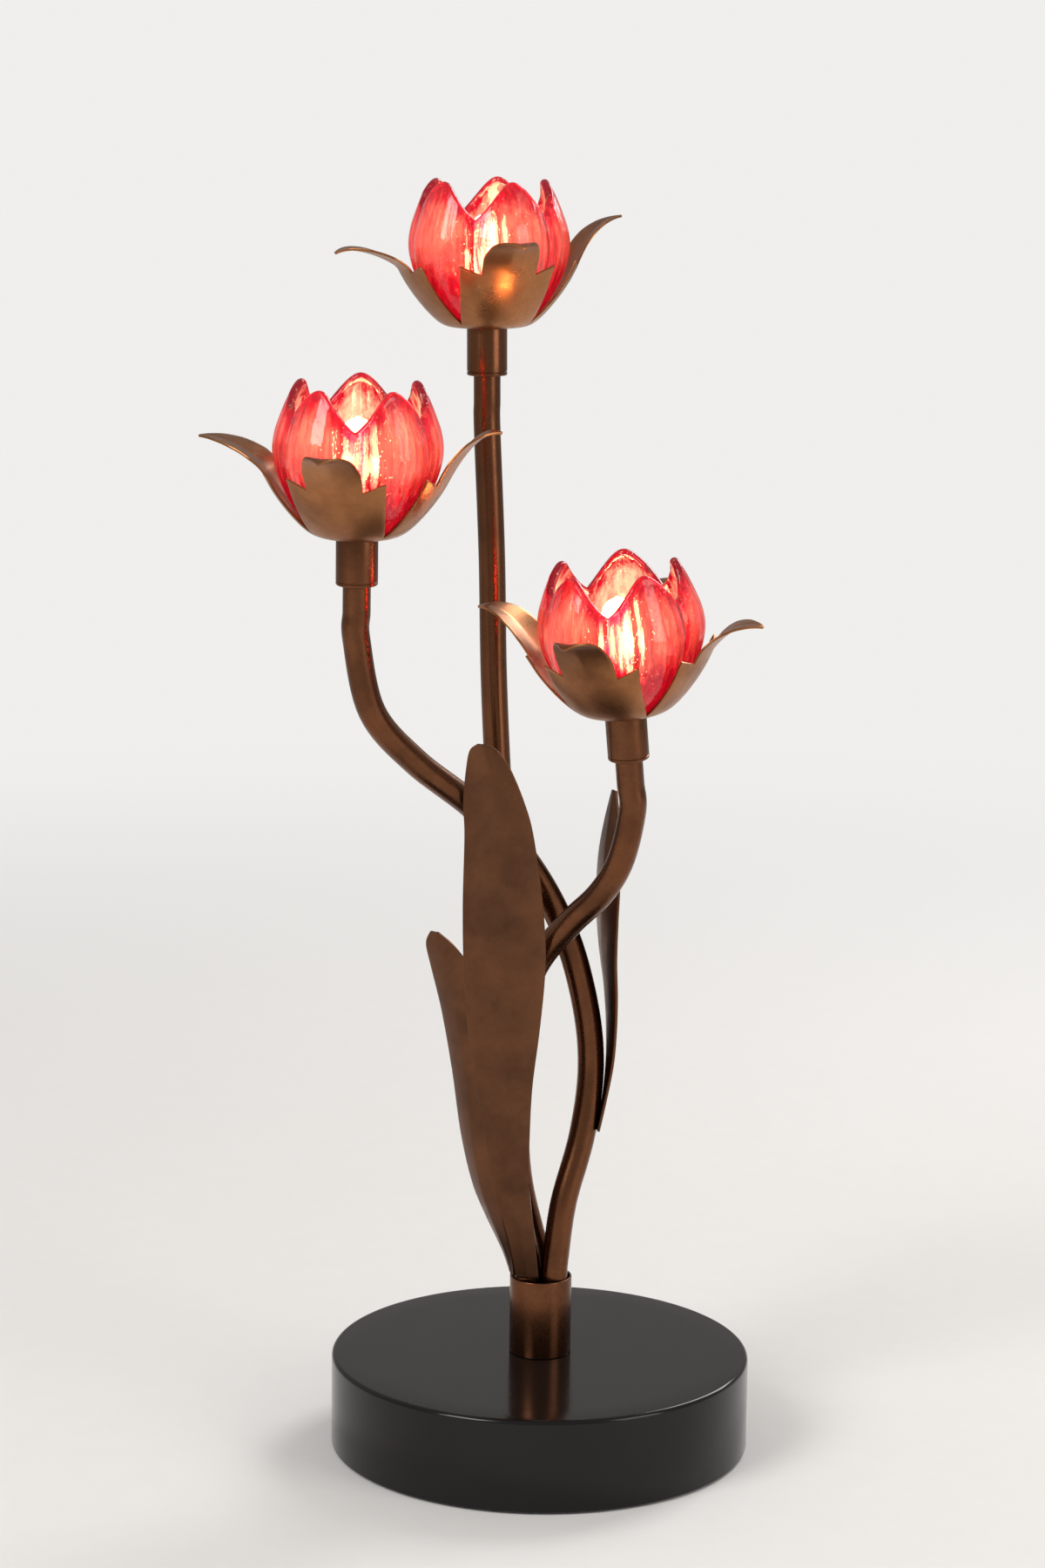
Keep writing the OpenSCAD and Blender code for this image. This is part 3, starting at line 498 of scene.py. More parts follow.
def tulip_glass(name, head):
    """Thick red glass with a painted glow for the light from inside its flower, that deepens with
    the way through it
    """
    material, n, shader = new_material(name)
    out = use(n, LIT_GLASS, Seat=along(head, SEAT_Z) * MM,
              Axis=head_matrix(head).to_3x3() @ Vector((0, 0, 1)))
    n.link(out["Colour"], shader["Base Color"])
    n.link(out["Roughness"], shader["Roughness"])
    n.link(out["Glow"], shader["Emission Color"])
    # Strength of the painted glow that stands in for the bulb's light
    shader["Emission Strength"].default_value = 0.66
    shader["Transmission Weight"].default_value = 0.94
    shader["IOR"].default_value = 1.5
    bump(n, out["Height"], shader, 0.45, 0.0007)
    tint = n.add("ShaderNodeVolumeAbsorption")
    tint.inputs["Color"].default_value = (0.84, 0.0, 0.12, 1)
    tint.inputs["Density"].default_value = 290.0
    n.link(tint.outputs[0], n.tree.nodes["Material Output"].inputs["Volume"])
    return material


def clear_glass(name, head):
    """Clear glass of a lit bulb, with a painted white-hot glow beside the filament"""
    material, n, shader = new_material(name)
    haze = n.noise(n.spots(), 120.0, 3.0, 0.5)
    n.link(n.ramp(haze, 0.3, 0.8, 0.02, 0.06), shader["Roughness"])
    n.link(n.blend(haze, (1.0, 0.95, 0.85, 1), (1.0, 0.98, 0.93, 1)), shader["Base Color"])
    bump(n, haze, shader, 0.08, 0.0002)
    shader["Transmission Weight"].default_value = 1.0
    shader["IOR"].default_value = 1.2
    # Painted glow: the glass emits warm light from a few millimetres above its foot to near its
    # tip, standing in for the filament's glare
    rise = n.rise(along(head, CAPSULE_Z) * MM,
                  head_matrix(head).to_3x3() @ Vector((0, 0, 1)))
    foot = n.ramp(rise, 0.003, 0.011, 0.0, 1.0)
    lit = n.math("MULTIPLY", foot, n.ramp(rise, 0.029, 0.036, 1.0, 0.0))
    n.link(n.blend(lit, (0.04, 0.02, 0.01, 1), (1.0, 0.76, 0.48, 1)), shader["Emission Color"])
    shader["Emission Strength"].default_value = 2.4
    return material


def filament():
    """White-hot wire"""
    material, n, shader = new_material("filament")
    flicker = n.noise(n.spots(), 800.0, 2.0, 0.5)
    n.link(n.blend(flicker, (1.0, 0.70, 0.38, 1), (1.0, 0.86, 0.62, 1)),
           shader["Emission Color"])
    n.link(n.blend(flicker, (0.9, 0.6, 0.3, 1), (1.0, 0.8, 0.5, 1)), shader["Base Color"])
    shader["Emission Strength"].default_value = 16.0
    n.link(n.ramp(flicker, 0.3, 0.7, 0.5, 0.7), shader["Roughness"])
    bump(n, flicker, shader, 0.3, 0.0002)
    return material


def felt():
    """Black felt of short upright fibres"""
    material, n, shader = new_material("felt")
    fibre = n.noise(n.spots((1, 1, 0.2)), 1600.0, 5.0, 0.7)
    n.link(n.blend(fibre, (0.012, 0.012, 0.012, 1), (0.05, 0.05, 0.048, 1)),
           shader["Base Color"])
    n.link(n.ramp(fibre, 0.3, 0.7, 0.9, 1.0), shader["Roughness"])
    shader["Sheen Weight"].default_value = 0.4
    bump(n, fibre, shader, 0.7, 0.0005)
    return material


BRONZE = metal("dark_bronze", (0.17, 0.066, 0.030), (0.06, 0.026, 0.015), 0.7, 0.22, 0.03)
LEAF_BRONZE = metal("leaf_bronze", (0.15, 0.064, 0.032), (0.06, 0.028, 0.017), 0.7, 0.27, 0.08)
COPPER = metal("copper_brass", (0.40, 0.165, 0.064), (0.15, 0.056, 0.025), 0.75, 0.27, 0.12)
BRASS = metal("bright_brass", (0.80, 0.60, 0.28), (0.45, 0.28, 0.10), 0.3, 0.20)
STEEL = metal("zinc_steel", (0.60, 0.60, 0.62), (0.35, 0.35, 0.36), 0.5, 0.30)
BLACK = moulded("black_lacquer", (0.005, 0.004, 0.004), 0.13, 0.3, 500.0, 0.02, 0.3)
IRON = moulded("cast_iron", (0.10, 0.10, 0.10), 0.65, 0.5, 350.0, 0.5)
CERAMIC = moulded("ceramic", (0.86, 0.83, 0.77), 0.55, 0.3, 600.0, 0.15)
PLASTIC = moulded("terminal_plastic", (0.80, 0.80, 0.77), 0.45, 0.1, 700.0, 0.1)
RUBBER = moulded("inlet_rubber", (0.02, 0.02, 0.02), 0.60, 0.2, 900.0, 0.2)
GREY_WIRE = moulded("lead_sheath", (0.20, 0.20, 0.21), 0.50, 0.1, 700.0, 0.1)
EARTH_WIRE = moulded("earth_sheath", (0.33, 0.52, 0.08), 0.50, 0.1, 700.0, 0.1)
FILAMENT = filament()
FELT = felt()

# ---------- glass tulips ----------

GLASS_OUTLINE = smooth([
    (0.39, 0), (0.5, 0.025), (0.665, 0.11), (0.81, 0.215), (0.935, 0.36), (1, 0.515),
    (0.98, 0.65), (0.905, 0.78), (0.825, 0.89), (0.755, 0.965), (0.72, 1)], 8)
GLASS_CURVE = [(height, radius) for radius, height in GLASS_OUTLINE]
PETAL_OFFSET = 0.435
PETAL_ANGLE = 360 / PETALS
COLUMNS_PER_PETAL = 48
CAP = 2.0
HOLE_GAP = 0.3
# Keeps the rounded rim just inside the part's own
RIM_EASE = 0.05
RIBS_PER_PETAL, RIB_DEPTH = 8, 0.14


def petal_bulge(a):
    """Radius of the five-lobed outline, an angle a from the petal's middle"""
    side = PETAL_OFFSET * math.sin(math.radians(a))
    return PETAL_OFFSET * math.cos(math.radians(a)) + math.sqrt((1 - PETAL_OFFSET) ** 2 - side ** 2)


def glass_r(height, a):
    """Outer radius at a part of the height, an angle a from the petal's middle"""
    lobe = 1 - ease(height / 0.3) * (1 - petal_bulge(a))
    return SHADE_R * lookup(GLASS_CURVE, height) * lobe


def rim_z(a):
    """Height of the rim, an angle a from the petal's middle"""
    t = 2 * a / PETAL_ANGLE
    return SHADE_H - PETAL_CUT * (0.4 * t * t + 0.6 * math.sin(math.pi / 2 * t) ** 2)


def glass_section(turn, petal):
    """Closed section through the glass at one angle, with ribs inside"""
    top = rim_z(petal) - RIM_EASE
    low = top - CAP
    hole = HOLDER_R + HOLE_GAP
    ribs = math.cos(math.radians(petal) * RIBS_PER_PETAL * 360 / PETAL_ANGLE)
    sway = math.sin(math.radians(3 * turn + 40)) + 0.6 * math.sin(math.radians(7 * turn))

    def fade(height):
        return ease((height - 0.08) / 0.2) * ease((0.98 - height) / 0.15)

    def outer(z):
        height = z / SHADE_H
        return glass_r(height, petal) - fade(height) * (0.10 + 0.10 * ribs + 0.08 * sway)

    def inner(z):
        height = z / SHADE_H
        return glass_r(height, petal) - GLASS_T + fade(height) * RIB_DEPTH * ribs

    points = [(hole, 0)]
    for k in range(OUTER_ROWS + 1):
        z = low * (k / OUTER_ROWS) ** 0.9
        points.append((outer(z), z))
    for k in range(1, CAP_ROWS):
        turn_up = math.pi * k / CAP_ROWS
        middle = (outer(low) + inner(low)) / 2 - 0.15 * math.sin(turn_up)
        half = (outer(low) - inner(low)) / 2
        points.append((middle + half * math.cos(turn_up), low + CAP * math.sin(turn_up)))
    for k in range(INNER_ROWS + 1):
        z = GLASS_FLOOR + (low - GLASS_FLOOR) * (1 - k / INNER_ROWS)
        points.append((inner(z), z))
    points += [(hole + 3, GLASS_FLOOR), (hole, GLASS_FLOOR), (hole, 0)]
    return points


def tulip(name, head):
    """Thick glass shade with five petals"""
    total = PETALS * COLUMNS_PER_PETAL
    sections = []
    for i in range(total + 1):
        turn = 360 * (i % total) / total
        petal = (turn + PETAL_ANGLE / 2) % PETAL_ANGLE - PETAL_ANGLE / 2
        sections.append((math.radians(turn + head["petal_turn"]), glass_section(turn, petal)))

    def spot(row, column):
        angle, section = sections[row]
        radius, height = section[column]
        return radius * math.cos(angle), radius * math.sin(angle), SEAT_Z + height

    obj = sheet(name, total + 1, len(sections[0][1]), spot)
    weld(obj)
    obj.data.transform(head_matrix(head))
    shade(obj, 50)
    return obj


# ---------- calyx ----------

FLAP_ROOT = [
    (HOLDER_R + HOLE_GAP, 0), (11, 0), (14.5, 0), (18.5, 0.7), (SHADE_R - 15, 2.7),
    (SHADE_R - 10.5, 7), (SHADE_R - 5.5, 13), (SHADE_R - 1, 19.5), (SHADE_R + 2, 25)]
TONGUE_AIM = (3, 6)
SLIT_R, SHOULDER_R, SHOULDER_ANGLE = 22.0, SHADE_R + 4, 31.0
TONGUE_W = 25.0
TONGUE_TAPER = [(0, 0.48), (0.35, 0.5), (0.6, 0.42), (0.8, 0.27), (0.93, 0.12), (1, 0.03)]
BOWL_ROWS, TONGUE_ROWS = 30, 26
HALF_COLUMNS, TONGUE_COLUMNS = 14, 9


def bezier(a, b, c, d, t):
    """Point at t on the curve from a to d that aims at b and comes from c"""
    return tuple(
        (1 - t) ** 3 * p + 3 * (1 - t) ** 2 * t * q + 3 * (1 - t) * t * t * r + t ** 3 * s
        for p, q, r, s in zip(a, b, c, d))


def flap(name, tongue):
    """One flap of sheet: an eighth of a bowl to each side, two shoulders and the tongue"""
    root = FLAP_ROOT[-1]
    aim = (root[0] + TONGUE_AIM[0], root[1] + TONGUE_AIM[1])

    def line(t):
        return bezier(root, aim, tongue[2:], tongue[:2], t)

    bowl = smooth(FLAP_ROOT, 6) + [line(t / 40) for t in range(1, 13)]
    lengths = [0.0]
    for p, q in zip(bowl, bowl[1:]):
        lengths.append(lengths[-1] + math.dist(p, q))
    root_length = lengths[len(bowl) - 13]
    by_length = list(zip(lengths, bowl))
    shoulder_length = next(s for s, (r, z) in by_length if r >= SHOULDER_R)

    def on_bowl(length):
        for (s0, p0), (s1, p1) in zip(by_length, by_length[1:]):
            if length <= s1:
                k = (length - s0) / (s1 - s0)
                return p0[0] + (p1[0] - p0[0]) * k, p0[1] + (p1[1] - p0[1]) * k
        return by_length[-1][1]

    corner = (SHOULDER_R * math.cos(math.radians(SHOULDER_ANGLE)),
              SHOULDER_R * math.sin(math.radians(SHOULDER_ANGLE)))
    slit = (SLIT_R * math.cos(math.radians(45)), SLIT_R * math.sin(math.radians(45)))

    def slit_angle(r):
        """Half angle that the flap takes at a radius: an eighth of a turn up to the slit"""
        if r <= SLIT_R:
            return 45.0
        k = min(1.0, (r - SLIT_R) / (SHOULDER_R - SLIT_R))
        x, y = slit[0] + (corner[0] - slit[0]) * k, slit[1] + (corner[1] - slit[1]) * k
        return math.degrees(math.atan2(y, x))

    notch = math.degrees(math.asin(TONGUE_TAPER[0][1] * TONGUE_W / root[0]))

    def spot(row, column):
        side = column - HALF_COLUMNS
        far = abs(side)
        if row <= BOWL_ROWS:
            reach = root_length
            if far > TONGUE_COLUMNS:
                share = (far - TONGUE_COLUMNS) / (HALF_COLUMNS - TONGUE_COLUMNS)
                reach += (shoulder_length - root_length) * share
            r, z = on_bowl(reach * row / BOWL_ROWS)
            full = slit_angle(r)
            inner = full * TONGUE_COLUMNS / HALF_COLUMNS
            inner += (notch - inner) * ease((r - SLIT_R + 6) / (root[0] - SLIT_R + 6))
            if far <= TONGUE_COLUMNS:
                angle = inner * far / TONGUE_COLUMNS
            else:
                angle = inner + (full - inner) * (far - TONGUE_COLUMNS) / (
                    HALF_COLUMNS - TONGUE_COLUMNS)
        else:
            t = (row - BOWL_ROWS) / TONGUE_ROWS
            r, z = line(t)
            half = TONGUE_W * lookup(TONGUE_TAPER, t)
            across = min(far, TONGUE_COLUMNS) / TONGUE_COLUMNS
            angle = math.degrees(math.asin(half / r)) * across
            fold = 0.9 * math.sin(math.pi * t) * (1 - across) ** 2
            r, z = r + 0.5 * fold, z - 0.8 * fold
        angle = math.radians(angle) * (1 if side >= 0 else -1)
        return r * math.cos(angle), r * math.sin(angle), SEAT_Z - CALYX_T / 2 + z

    def keep(row, column):
        return row <= BOWL_ROWS or abs(column - HALF_COLUMNS) <= TONGUE_COLUMNS

    return sheet(name, BOWL_ROWS + TONGUE_ROWS + 1, 2 * HALF_COLUMNS + 1, spot, keep)


def calyx(name, head):
    """Four flaps of sheet around the shade"""
    flaps = []
    for k, tongue in enumerate(head["tongues"]):
        piece = flap(f"{name}_flap", tongue)
        piece.data.transform(
            Matrix.Rotation(math.radians(head["flap_turn"] - 90 + 90 * k), 4, "Z"))
        flaps.append(piece)
    obj = merge(name, flaps)
    weld(obj)
    modify(obj, "SOLIDIFY", thickness=CALYX_T * MM, offset=0)
    modify(obj, "BEVEL", width=0.25 * MM, segments=2, limit_method="ANGLE",
           angle_limit=math.radians(50))
    obj.data.transform(head_matrix(head))
    shade(obj, 40)
    return obj


# ---------- stems and leaves ----------


def trunk_spot(angle, z):
    """Middle of a stem in the collar's bundle of three"""
    return (BUNDLE_R * math.cos(math.radians(angle)), BUNDLE_R * math.sin(math.radians(angle)), z)


def route(head, angle, low, high):
    """A stem's way up: out of the collar, through its bends, into the flower's cup"""
    points = [trunk_spot(angle, z) for z in (STEM_FOOT_Z, STEM_FOOT_Z + 10, TRUNK_Z + 1)]
    points += [(x, y, z + TRUNK_Z) for x, y, z in low]
    foot = head["foot"]
    points += [(foot[0] + x, foot[1] + y, foot[2] + z) for x, y, z in high]
    points += [tuple(along(head, -2 * (NIPPLE_GRIP + 1))), tuple(along(head, -NIPPLE_GRIP - 1))]
    return points + [tuple(foot)]


ROUTES = {
    "top": route(
        HEADS["top"], 90,
        [(-2, 7.9, 10), (-5, 9.5, 19), (-10.5, 12, 43), (-13, 16, 76), (-14, 21, 111),
         (-16, 27, 146), (-19, 33, 183), (-22, 37.5, 221)],
        [(4.4, -2, -135), (2.9, -0.5, -80)]),
    "left": route(
        HEADS["left"], -30,
        [(6.7, -2.9, 10), (10, -0.5, 35), (18, 5.5, 65), (21.5, 9.5, 96), (18, 9.5, 127),
         (8, 5.5, 161)],
        [(73, 57, -131), (50, 41, -104), (24.5, 21, -80), (6.5, 6.5, -56)]),
    "right": route(
        HEADS["right"], 210,
        [(-7, -3.4, 10), (-10, -3, 27), (-13.5, -1, 61), (-14, 0, 93), (-11.5, -2.5, 124),
         (-3, -10, 149)],
        [(-24, 28.5, -80), (-11, 17, -64), (-2.5, 8.5, -47)]),
}
STEM_SIDES, STEM_STEPS = 36, 9


def stem(name, points):
    """Bent tube through its points"""
    path = smooth(points, STEM_STEPS)

    def spot(row, column):
        direction = heading(path, row)
        a = direction.cross(Vector((0, 1, 0))).normalized()
        b = direction.cross(a)
        turn = FULL_TURN * (column % STEM_SIDES) / STEM_SIDES
        return Vector(path[row]) + STEM_R * (a * math.cos(turn) + b * math.sin(turn))

    obj = sheet(name, len(path), STEM_SIDES + 1, spot)
    weld(obj)
    modify(obj, "SOLIDIFY", thickness=STEM_WALL * MM, offset=-1)
    shade(obj, 50)
    return obj


# Stations are (x, y, z above the collar, half width, turn from facing the front, curl)
BRAZE = STEM_R + LEAF_T / 2 + SEAM
RIGHT_SPOT = trunk_spot(210, 0)
LEAVES = {
    "tall_leaf": [
        (RIGHT_SPOT[0], RIGHT_SPOT[1] - BRAZE, 1.5, 5, 0, 0.2),
        (-9, -12.5, 21, 6, 0, 0.6), (-14, -15, 46, 8, 0, 1.5), (-16, -17.5, 71, 10, 0, 2.5),
        (-17.5, -20, 94, 12.5, 0, 3), (-18, -23, 121, 16, 0, 3.5), (-18, -26.5, 150, 18, 0, 4),
        (-19, -31, 178, 17.5, 0, 4), (-21, -34.5, 210, 15, 0, 3),
        (-23.5, -36, 226, 13.2, 0, 2), (-26, -37, 241, 9.5, 0, 1.5),
        (-28, -37.5, 249, 6, 0, 1), (-28.8, -37.8, 252, 2, 0, 0.2)],
    "left_leaf": [
        (RIGHT_SPOT[0] - BRAZE / math.cos(math.radians(15)), RIGHT_SPOT[1], 1.5, 4, 75, 0.2),
        (-15.5, -4.5, 11, 5, 65, 0.5), (-22, -5.5, 28, 7, 55, 1), (-27, -6, 43, 8.5, 50, 1.5),
        (-31, -6.5, 66, 10, 45, 2), (-34, -7, 95, 11, 40, 2.5), (-38, -7.5, 123, 11.5, 36, 2.5),
        (-43, -8, 144, 10.5, 32, 2), (-47, -8.5, 155, 7.5, 30, 1),
        (-49.5, -9, 161.5, 2, 30, 0.2)],
    "right_leaf": [
        (18.4 + BRAZE, 6, 67, 4, 90, 0.2),
        (27.8, 8, 83, 7, 88, 0.5), (29.2, 9, 99, 10, 84, 1), (29.2, 9.5, 115, 12, 82, 1.5),
        (28.2, 9, 131, 13.5, 80, 2), (26.6, 8.5, 148, 14, 76, 2), (26, 8, 166, 13.5, 71, 2),
        (26.3, 8, 181, 12.5, 68, 2), (27, 7, 195, 10.5, 67, 1.5), (28.5, 6, 210, 7, 66, 1),
        (30, 5, 224, 2, 66, 0.2)],
}
LEAF_COLUMNS = 17
CREASE = 0.5


def leaf(name, stations):
    """Creased sheet leaf through its stations"""
    path = smooth(stations, 9)

    def spot(row, column):
        x, y, z, half, turn, curl = path[row]
        u = 2 * column / (LEAF_COLUMNS - 1) - 1
        turn = math.radians(turn)
        across = Vector((math.cos(turn), -math.sin(turn), 0))
        out = heading(path, row).cross(across).normalized()
        crease = CREASE * min(1.0, half / 10) * (1 - abs(u)) ** 3
        return Vector((x, y, z + TRUNK_Z)) + across * half * u + out * (curl * u * u - crease)

    obj = sheet(name, len(path), LEAF_COLUMNS, spot)
    modify(obj, "SOLIDIFY", thickness=LEAF_T * MM, offset=0)
    weld(obj)
    modify(obj, "BEVEL", width=0.4 * MM, segments=3, limit_method="ANGLE",
           angle_limit=math.radians(50))
    shade(obj, 45)
    return obj


# ---------- turned parts ----------


def socket_cup(name, head):
    """Spun cup with a rolled foot and a fine line above it"""
    hole = STEM_R - STEM_WALL - SEAM
    outline = [(hole, 0)]
    outline += arc((CUP_R - 0.5, 0.5), 0.5, -90, 0, 4)
    outline += [(CUP_R, 1.3), (CUP_R - 0.3, 1.5), (CUP_R - 0.3, 1.8), (CUP_R, 2.0)]
    outline += arc((CUP_R - 0.4, CUP_H - 0.4), 0.4, 0, 90, 4)
    outline += arc((CUP_R - CUP_WALL + 0.3, CUP_H - 0.3), 0.3, 90, 180, 3)
    outline += [(CUP_R - CUP_WALL, CUP_WALL), (hole, CUP_WALL)]
    obj = lathe(name, outline, 96)
    obj.data.transform(head_matrix(head))
    shade(obj, 50)
    return obj


def stem_collar(name):
    """Collar that holds the three stems on the drum"""
    outer = COLLAR_BORE + COLLAR_WALL
    hole = TRUNK_TUBE_R + TRUNK_TUBE_GAP
    outline = [(hole, 0)]
    outline += arc((outer - 0.5, 0.5), 0.5, -90, 0, 4)
    outline += arc((outer - 0.45, COLLAR_H - 0.45), 0.45, 0, 180, 8)
    outline += [(COLLAR_BORE, COLLAR_FLOOR), (hole, COLLAR_FLOOR)]
    obj = lathe(name, outline, 128)
    obj.data.transform(Matrix.Translation((0, 0, BASE_H * MM)))
    shade(obj, 50)
    return obj


def drum(name):
    """Lacquered drum with an eased top edge and the inlet's hole at the rear"""
    roof = BASE_H - SHELL_TOP
    inside = BASE_R - SHELL_WALL
    hole = TRUNK_TUBE_R + ROOF_HOLE_GAP
    outline = [(hole, roof), (hole, BASE_H), (40, BASE_H), (80, BASE_H)]
    outline += arc((BASE_R - SHELL_EDGE, BASE_H - SHELL_EDGE), SHELL_EDGE, 90, 0, 10)
    outline += [(BASE_R, 20)]
    outline += arc((BASE_R - 0.5, SKIRT_GAP + 0.5), 0.5, 0, -90, 4)
    outline += [(inside, SKIRT_GAP), (inside, 20)]
    outline += arc((inside - 0.5, roof - 0.5), 0.5, 0, 90, 4)
    outline += [(60, roof)]
    obj = lathe(name, outline, 256)
    deselect()
    bpy.ops.mesh.primitive_cylinder_add(
        vertices=64, radius=(INLET_R + BUSHING_WALL + BUSHING_GAP) * MM, depth=DRILL_L * MM,
        location=(0, BASE_R * MM, INLET_H * MM), rotation=(math.pi / 2, 0, 0))
    drill = bpy.context.active_object
    modify(obj, "BOOLEAN", operation="DIFFERENCE", object=drill, solver="EXACT")
    bpy.data.objects.remove(drill)
    posts = [obj]
    ring = BASE_R - SHELL_WALL - POST_R - POST_GAP
    section = [(POST_BORE_R, POST_FOOT), (POST_R, POST_FOOT), (POST_R, roof), (POST_BORE_R, roof)]
    for k in range(POSTS):
        turn = FULL_TURN * (k + 0.5) / POSTS
        post = lathe(f"{name}_post", section, 32)
        post.data.transform(Matrix.Translation(
            (ring * math.cos(turn) * MM, ring * math.sin(turn) * MM, 0)))
        posts.append(post)
    obj = merge(name, posts)
    shade(obj, 40)
    return obj


# ---------- bulbs ----------


TIP_H, SIDE_ROWS = 0.8, (14, 24)


def capsule(name, head):
    """Clear capsule with a pinched tip and a wall"""
    inner = BULB_R - CAPSULE_T
    top = CAPSULE_H
    low, high = SIDE_ROWS
    outline = [(0, 0)]
    outline += arc((BULB_R - 1, 1), 1, -90, 0, 5)
    outline += [(BULB_R, low), (BULB_R, high)]
    outline += arc((0, top - BULB_R - TIP_H), BULB_R, 0, 78, 12)
    outline += [(0.9, top - 0.55), (0.5, top - 0.1), (0, top)]
    outline += [(0, top - TIP_H - CAPSULE_T)]
    outline += arc((0, top - BULB_R - TIP_H), inner, 84, 0, 12)
    outline += [(inner, high), (inner, low), (inner, CAPSULE_T + 0.6),
                (inner - 0.6, CAPSULE_T), (0, CAPSULE_T)]
    obj = lathe(name, outline, 64)
    obj.data.transform(head_matrix(head) @ Matrix.Translation((0, 0, CAPSULE_Z * MM)))
    shade(obj, 60)
    return obj


COIL_R, COIL_WIRE, COIL_TURNS, COIL_LOW, COIL_HIGH = 1.75, 0.42, 13, 4.0, 31.5
STEPS_PER_TURN, WIRE_SIDES = 20, 8
ROD_R, ROD_SHOULDER, ROD_TOP = 0.8, 31.0, 33.0


def coil(name, head):
    """Coiled filament on its upright support"""
    steps = COIL_TURNS * STEPS_PER_TURN
    path = []
    for i in range(steps + 1):
        turn = FULL_TURN * COIL_TURNS * i / steps
        height = COIL_LOW + (COIL_HIGH - COIL_LOW) * i / steps
        path.append((COIL_R * math.cos(turn), COIL_R * math.sin(turn), height))

    def spot(row, column):
        direction = heading(path, row)
        a = Vector((path[row][0], path[row][1], 0)).normalized()
        b = direction.cross(a)
        turn = FULL_TURN * (column % WIRE_SIDES) / WIRE_SIDES
        return Vector(path[row]) + COIL_WIRE * (a * math.cos(turn) + b * math.sin(turn))

    wire = sheet(f"{name}_wire", len(path), WIRE_SIDES + 1, spot)
    weld(wire)
    rod = lathe(f"{name}_rod", [(0, CAPSULE_T), (ROD_R, CAPSULE_T), (ROD_R, ROD_SHOULDER),
                                (ROD_R - 0.3, ROD_TOP - 0.4), (0, ROD_TOP)], 24)
    obj = merge(name, [wire, rod])
    obj.data.transform(head_matrix(head) @ Matrix.Translation((0, 0, CAPSULE_Z * MM)))
    shade(obj, 60)
    return obj


def bulb_foot(name, head):
    """Ceramic foot of the bulb, with eased edges and a waist"""
    r = BULB_R - 0.5
    outline = [(0, 0)] + arc((r - 0.5, 0.5), 0.5, -90, 0, 4)
    outline += [(r, 2.4), (r - 0.35, 2.8), (r - 0.35, 3.4), (r, 3.8)]
    outline += arc((r - 0.6, BULB_BASE_H - 0.6), 0.6, 0, 90, 4) + [(0, BULB_BASE_H)]
    obj = lathe(name, outline, 64)
    obj.data.transform(head_matrix(head) @ Matrix.Translation((0, 0, BULB_Z * MM)))
    shade(obj, 50)
    return obj


# ---------- dressing ----------


def finish_piece(obj, material, slot, body, *nodes):
    """Dresses a piece, puts it on its body and hides the nodes it stands for"""
    dress(obj, material)
    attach(obj, body)
    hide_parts(*nodes)


finish_piece(drum("drum"), BLACK, "black_gloss", LAMP, "base_shell")
finish_piece(stem_collar("trunk_collar"), BRONZE, "dark_bronze", LAMP, "stem_collar")
for node, stations in LEAVES.items():
    finish_piece(leaf(f"sheet_{node}", stations), LEAF_BRONZE, "dark_bronze", LAMP, node)

for side, head in HEADS.items():
    bulb_body = f"bulb_{side}"
    finish_piece(stem(f"{side}_tube", ROUTES[side]), BRONZE, "dark_bronze", LAMP,
                 f"{side}_stem")
    finish_piece(socket_cup(f"{side}_cup", head), BRONZE, "dark_bronze", LAMP,
                 f"{side}_socket_cup")
    finish_piece(tulip(f"{side}_tulip", head), tulip_glass(f"{side}_tulip_glass", head),
                 "red_glass", LAMP, f"{side}_shade")
    finish_piece(calyx(f"{side}_sepals", head), COPPER, "copper_brass", LAMP,
                 f"{side}_calyx")
    finish_piece(capsule(f"{side}_capsule", head), clear_glass(f"{side}_bulb_capsule", head),
                 "clear_glass", bulb_body, f"{side}_bulb_glass")
    finish_piece(coil(f"{side}_coil", head), FILAMENT, "glowing_core", bulb_body,
                 f"{side}_bulb_core")
    finish_piece(bulb_foot(f"{side}_bulb_foot", head), CERAMIC, "white_ceramic", bulb_body,
                 f"{side}_bulb_base")

FINISHES = {
    "cast_weight": IRON, "steel": STEEL, "felt": FELT, "black_rubber": RUBBER,
    "white_plastic": PLASTIC, "bright_brass": BRASS, "earth_wire": EARTH_WIRE,
    "white_ceramic": CERAMIC, "grey_wire": GREY_WIRE, "black_gloss": BLACK,
    "dark_bronze": BRONZE, "copper_brass": COPPER, "glowing_core": FILAMENT,
}
for entry in frame["record"]["subparts"]:
    if entry["material_slot"] in FINISHES:
        dress(frame["nodes"][entry["node"]], FINISHES[entry["material_slot"]])

# ---------- studio ----------


PALE = (0.87, 0.86, 0.845, 1)
FLOOR_HALF, FLOOR_REAR, SWEEP_R, WALL_TOP = 6500, 4500, 1500, 5500
FLOOR_COLUMNS, SWEEP_STEPS = 12, 10
# How far from the lamp, in metres, the shaded floor fades into the plain ground
FADE_FROM, FADE_TO = 0.35, 1.8


def seen_ray(n):
    """1 for the rays that show the background, straight or through glass"""
    rays = n.add("ShaderNodeLightPath").outputs
    return n.math("MAXIMUM", rays["Is Camera Ray"], rays["Is Transmission Ray"])


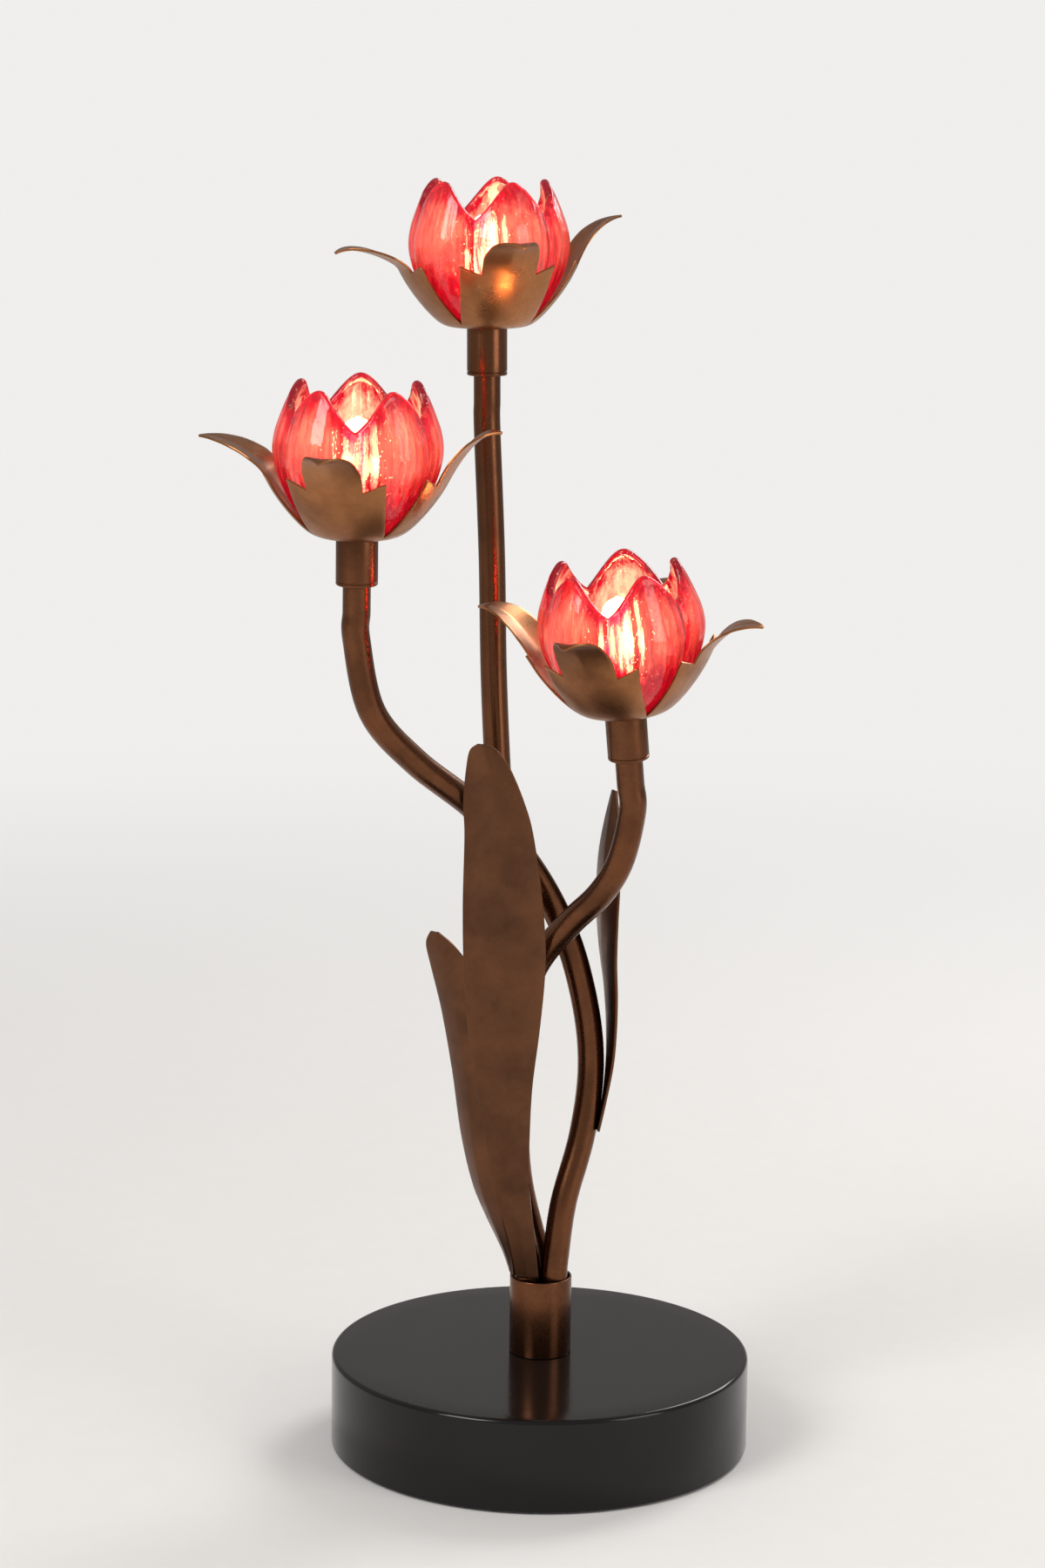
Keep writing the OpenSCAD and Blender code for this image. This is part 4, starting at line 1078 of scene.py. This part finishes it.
def backdrop():
    """Pale floor that sweeps up into a pale wall, plain and even away from the lamp"""
    profile = [(y, 0) for y in (-FLOOR_HALF, -3000, -1000, 0, 1000, 3000, FLOOR_REAR)]
    for k in range(1, SWEEP_STEPS + 1):
        turn = FULL_TURN / 4 * k / SWEEP_STEPS
        profile.append((FLOOR_REAR + SWEEP_R * math.sin(turn), SWEEP_R * (1 - math.cos(turn))))
    profile.append((FLOOR_REAR + SWEEP_R, WALL_TOP))

    def spot(row, column):
        return FLOOR_HALF * (2 * column / FLOOR_COLUMNS - 1), profile[row][0], profile[row][1]

    obj = sheet("studio_sweep", len(profile), FLOOR_COLUMNS + 1, spot)
    shade(obj, 60)
    material, n, shader = new_material("studio_paper")
    fibre = n.noise(n.spots(), 60.0, 4.0, 0.6)
    n.link(n.blend(fibre, (0.80, 0.785, 0.765, 1), (0.83, 0.815, 0.795, 1)),
           shader["Base Color"])
    shader["Roughness"].default_value = 0.7
    distance = n.add("ShaderNodeVectorMath", operation="LENGTH")
    n.link(n.add("ShaderNodeTexCoord").outputs["Object"], distance.inputs[0])
    far = n.ramp(distance.outputs["Value"], FADE_FROM, FADE_TO)
    seen = seen_ray(n)
    plain = n.add("ShaderNodeEmission")
    plain.inputs["Color"].default_value = PALE
    mix = n.add("ShaderNodeMixShader")
    n.link(n.math("MULTIPLY", far, seen), mix.inputs[0])
    n.link(n.tree.nodes["Principled BSDF"].outputs[0], mix.inputs[1])
    n.link(plain.outputs[0], mix.inputs[2])
    n.link(mix.outputs[0], n.tree.nodes["Material Output"].inputs["Surface"])
    dress(obj, material)


def softbox(name, place, aim, size, power, colour=(1, 1, 1)):
    """Soft rectangular lamp, in metres and watts"""
    deselect()
    bpy.ops.object.light_add(type="AREA", location=place)
    lamp = bpy.context.active_object
    lamp.name = name
    lamp.rotation_euler = (Vector(aim) - Vector(place)).to_track_quat("-Z", "Y").to_euler()
    lamp.data.shape = "RECTANGLE"
    lamp.data.size, lamp.data.size_y = size
    lamp.data.energy = power
    lamp.data.color = colour


backdrop()
AIM = (-0.02, 0, 0.3)
softbox("key", (-1.3, -1.3, 1.5), AIM, (0.9, 1.2), 26)
softbox("fill", (1.6, -1.1, 0.9), AIM, (0.9, 1.4), 12, (1.0, 0.97, 0.94))
softbox("rim", (0.9, 1.1, 1.3), AIM, (0.7, 0.9), 14)

# The light of each bulb
SPARK_RISE, SPARK_POWER, SPARK_R = 16, 0.55, 0.009
for side, head in HEADS.items():
    deselect()
    bpy.ops.object.light_add(type="POINT", location=along(head, CAPSULE_Z + SPARK_RISE) * MM)
    spark = bpy.context.active_object
    spark.name = f"{side}_spark"
    spark.data.energy = SPARK_POWER
    spark.data.color = (1.0, 0.55, 0.25)
    spark.data.shadow_soft_size = SPARK_R
    spark.data.specular_factor = 0.3
    spark.visible_camera = False

world = bpy.context.scene.world or bpy.data.worlds.new("studio")
bpy.context.scene.world = world
world.use_nodes = True
sky = Nodes(world.node_tree)
light = sky.tree.nodes["Background"]
light.inputs["Color"].default_value = (1.0, 0.98, 0.96, 1)
light.inputs["Strength"].default_value = 0.45
plain = sky.add("ShaderNodeBackground")
plain.inputs["Color"].default_value = PALE
plain.inputs["Strength"].default_value = 1.0
mix = sky.add("ShaderNodeMixShader")
sky.link(seen_ray(sky), mix.inputs[0])
sky.link(light.outputs[0], mix.inputs[1])
sky.link(plain.outputs[0], mix.inputs[2])
sky.link(mix.outputs[0], sky.tree.nodes["World Output"].inputs["Surface"])
bpy.context.scene.view_settings.view_transform = "Standard"

# The place, lens, look down and roll of the photograph's camera
CAMERA_SPOT = (-0.011, -1.749, 0.645)
LENS, SENSOR, LOOK_DOWN, ROLL = 92, 36, 10.96, 0.69
deselect()
bpy.ops.object.camera_add(location=CAMERA_SPOT)
camera = bpy.context.active_object
camera.data.lens = LENS
camera.data.sensor_width = SENSOR
level = Matrix.Rotation(math.radians(90 - LOOK_DOWN), 4, "X")
camera.rotation_euler = (level @ Matrix.Rotation(math.radians(ROLL), 4, "Z")).to_euler()
bpy.context.scene.camera = camera
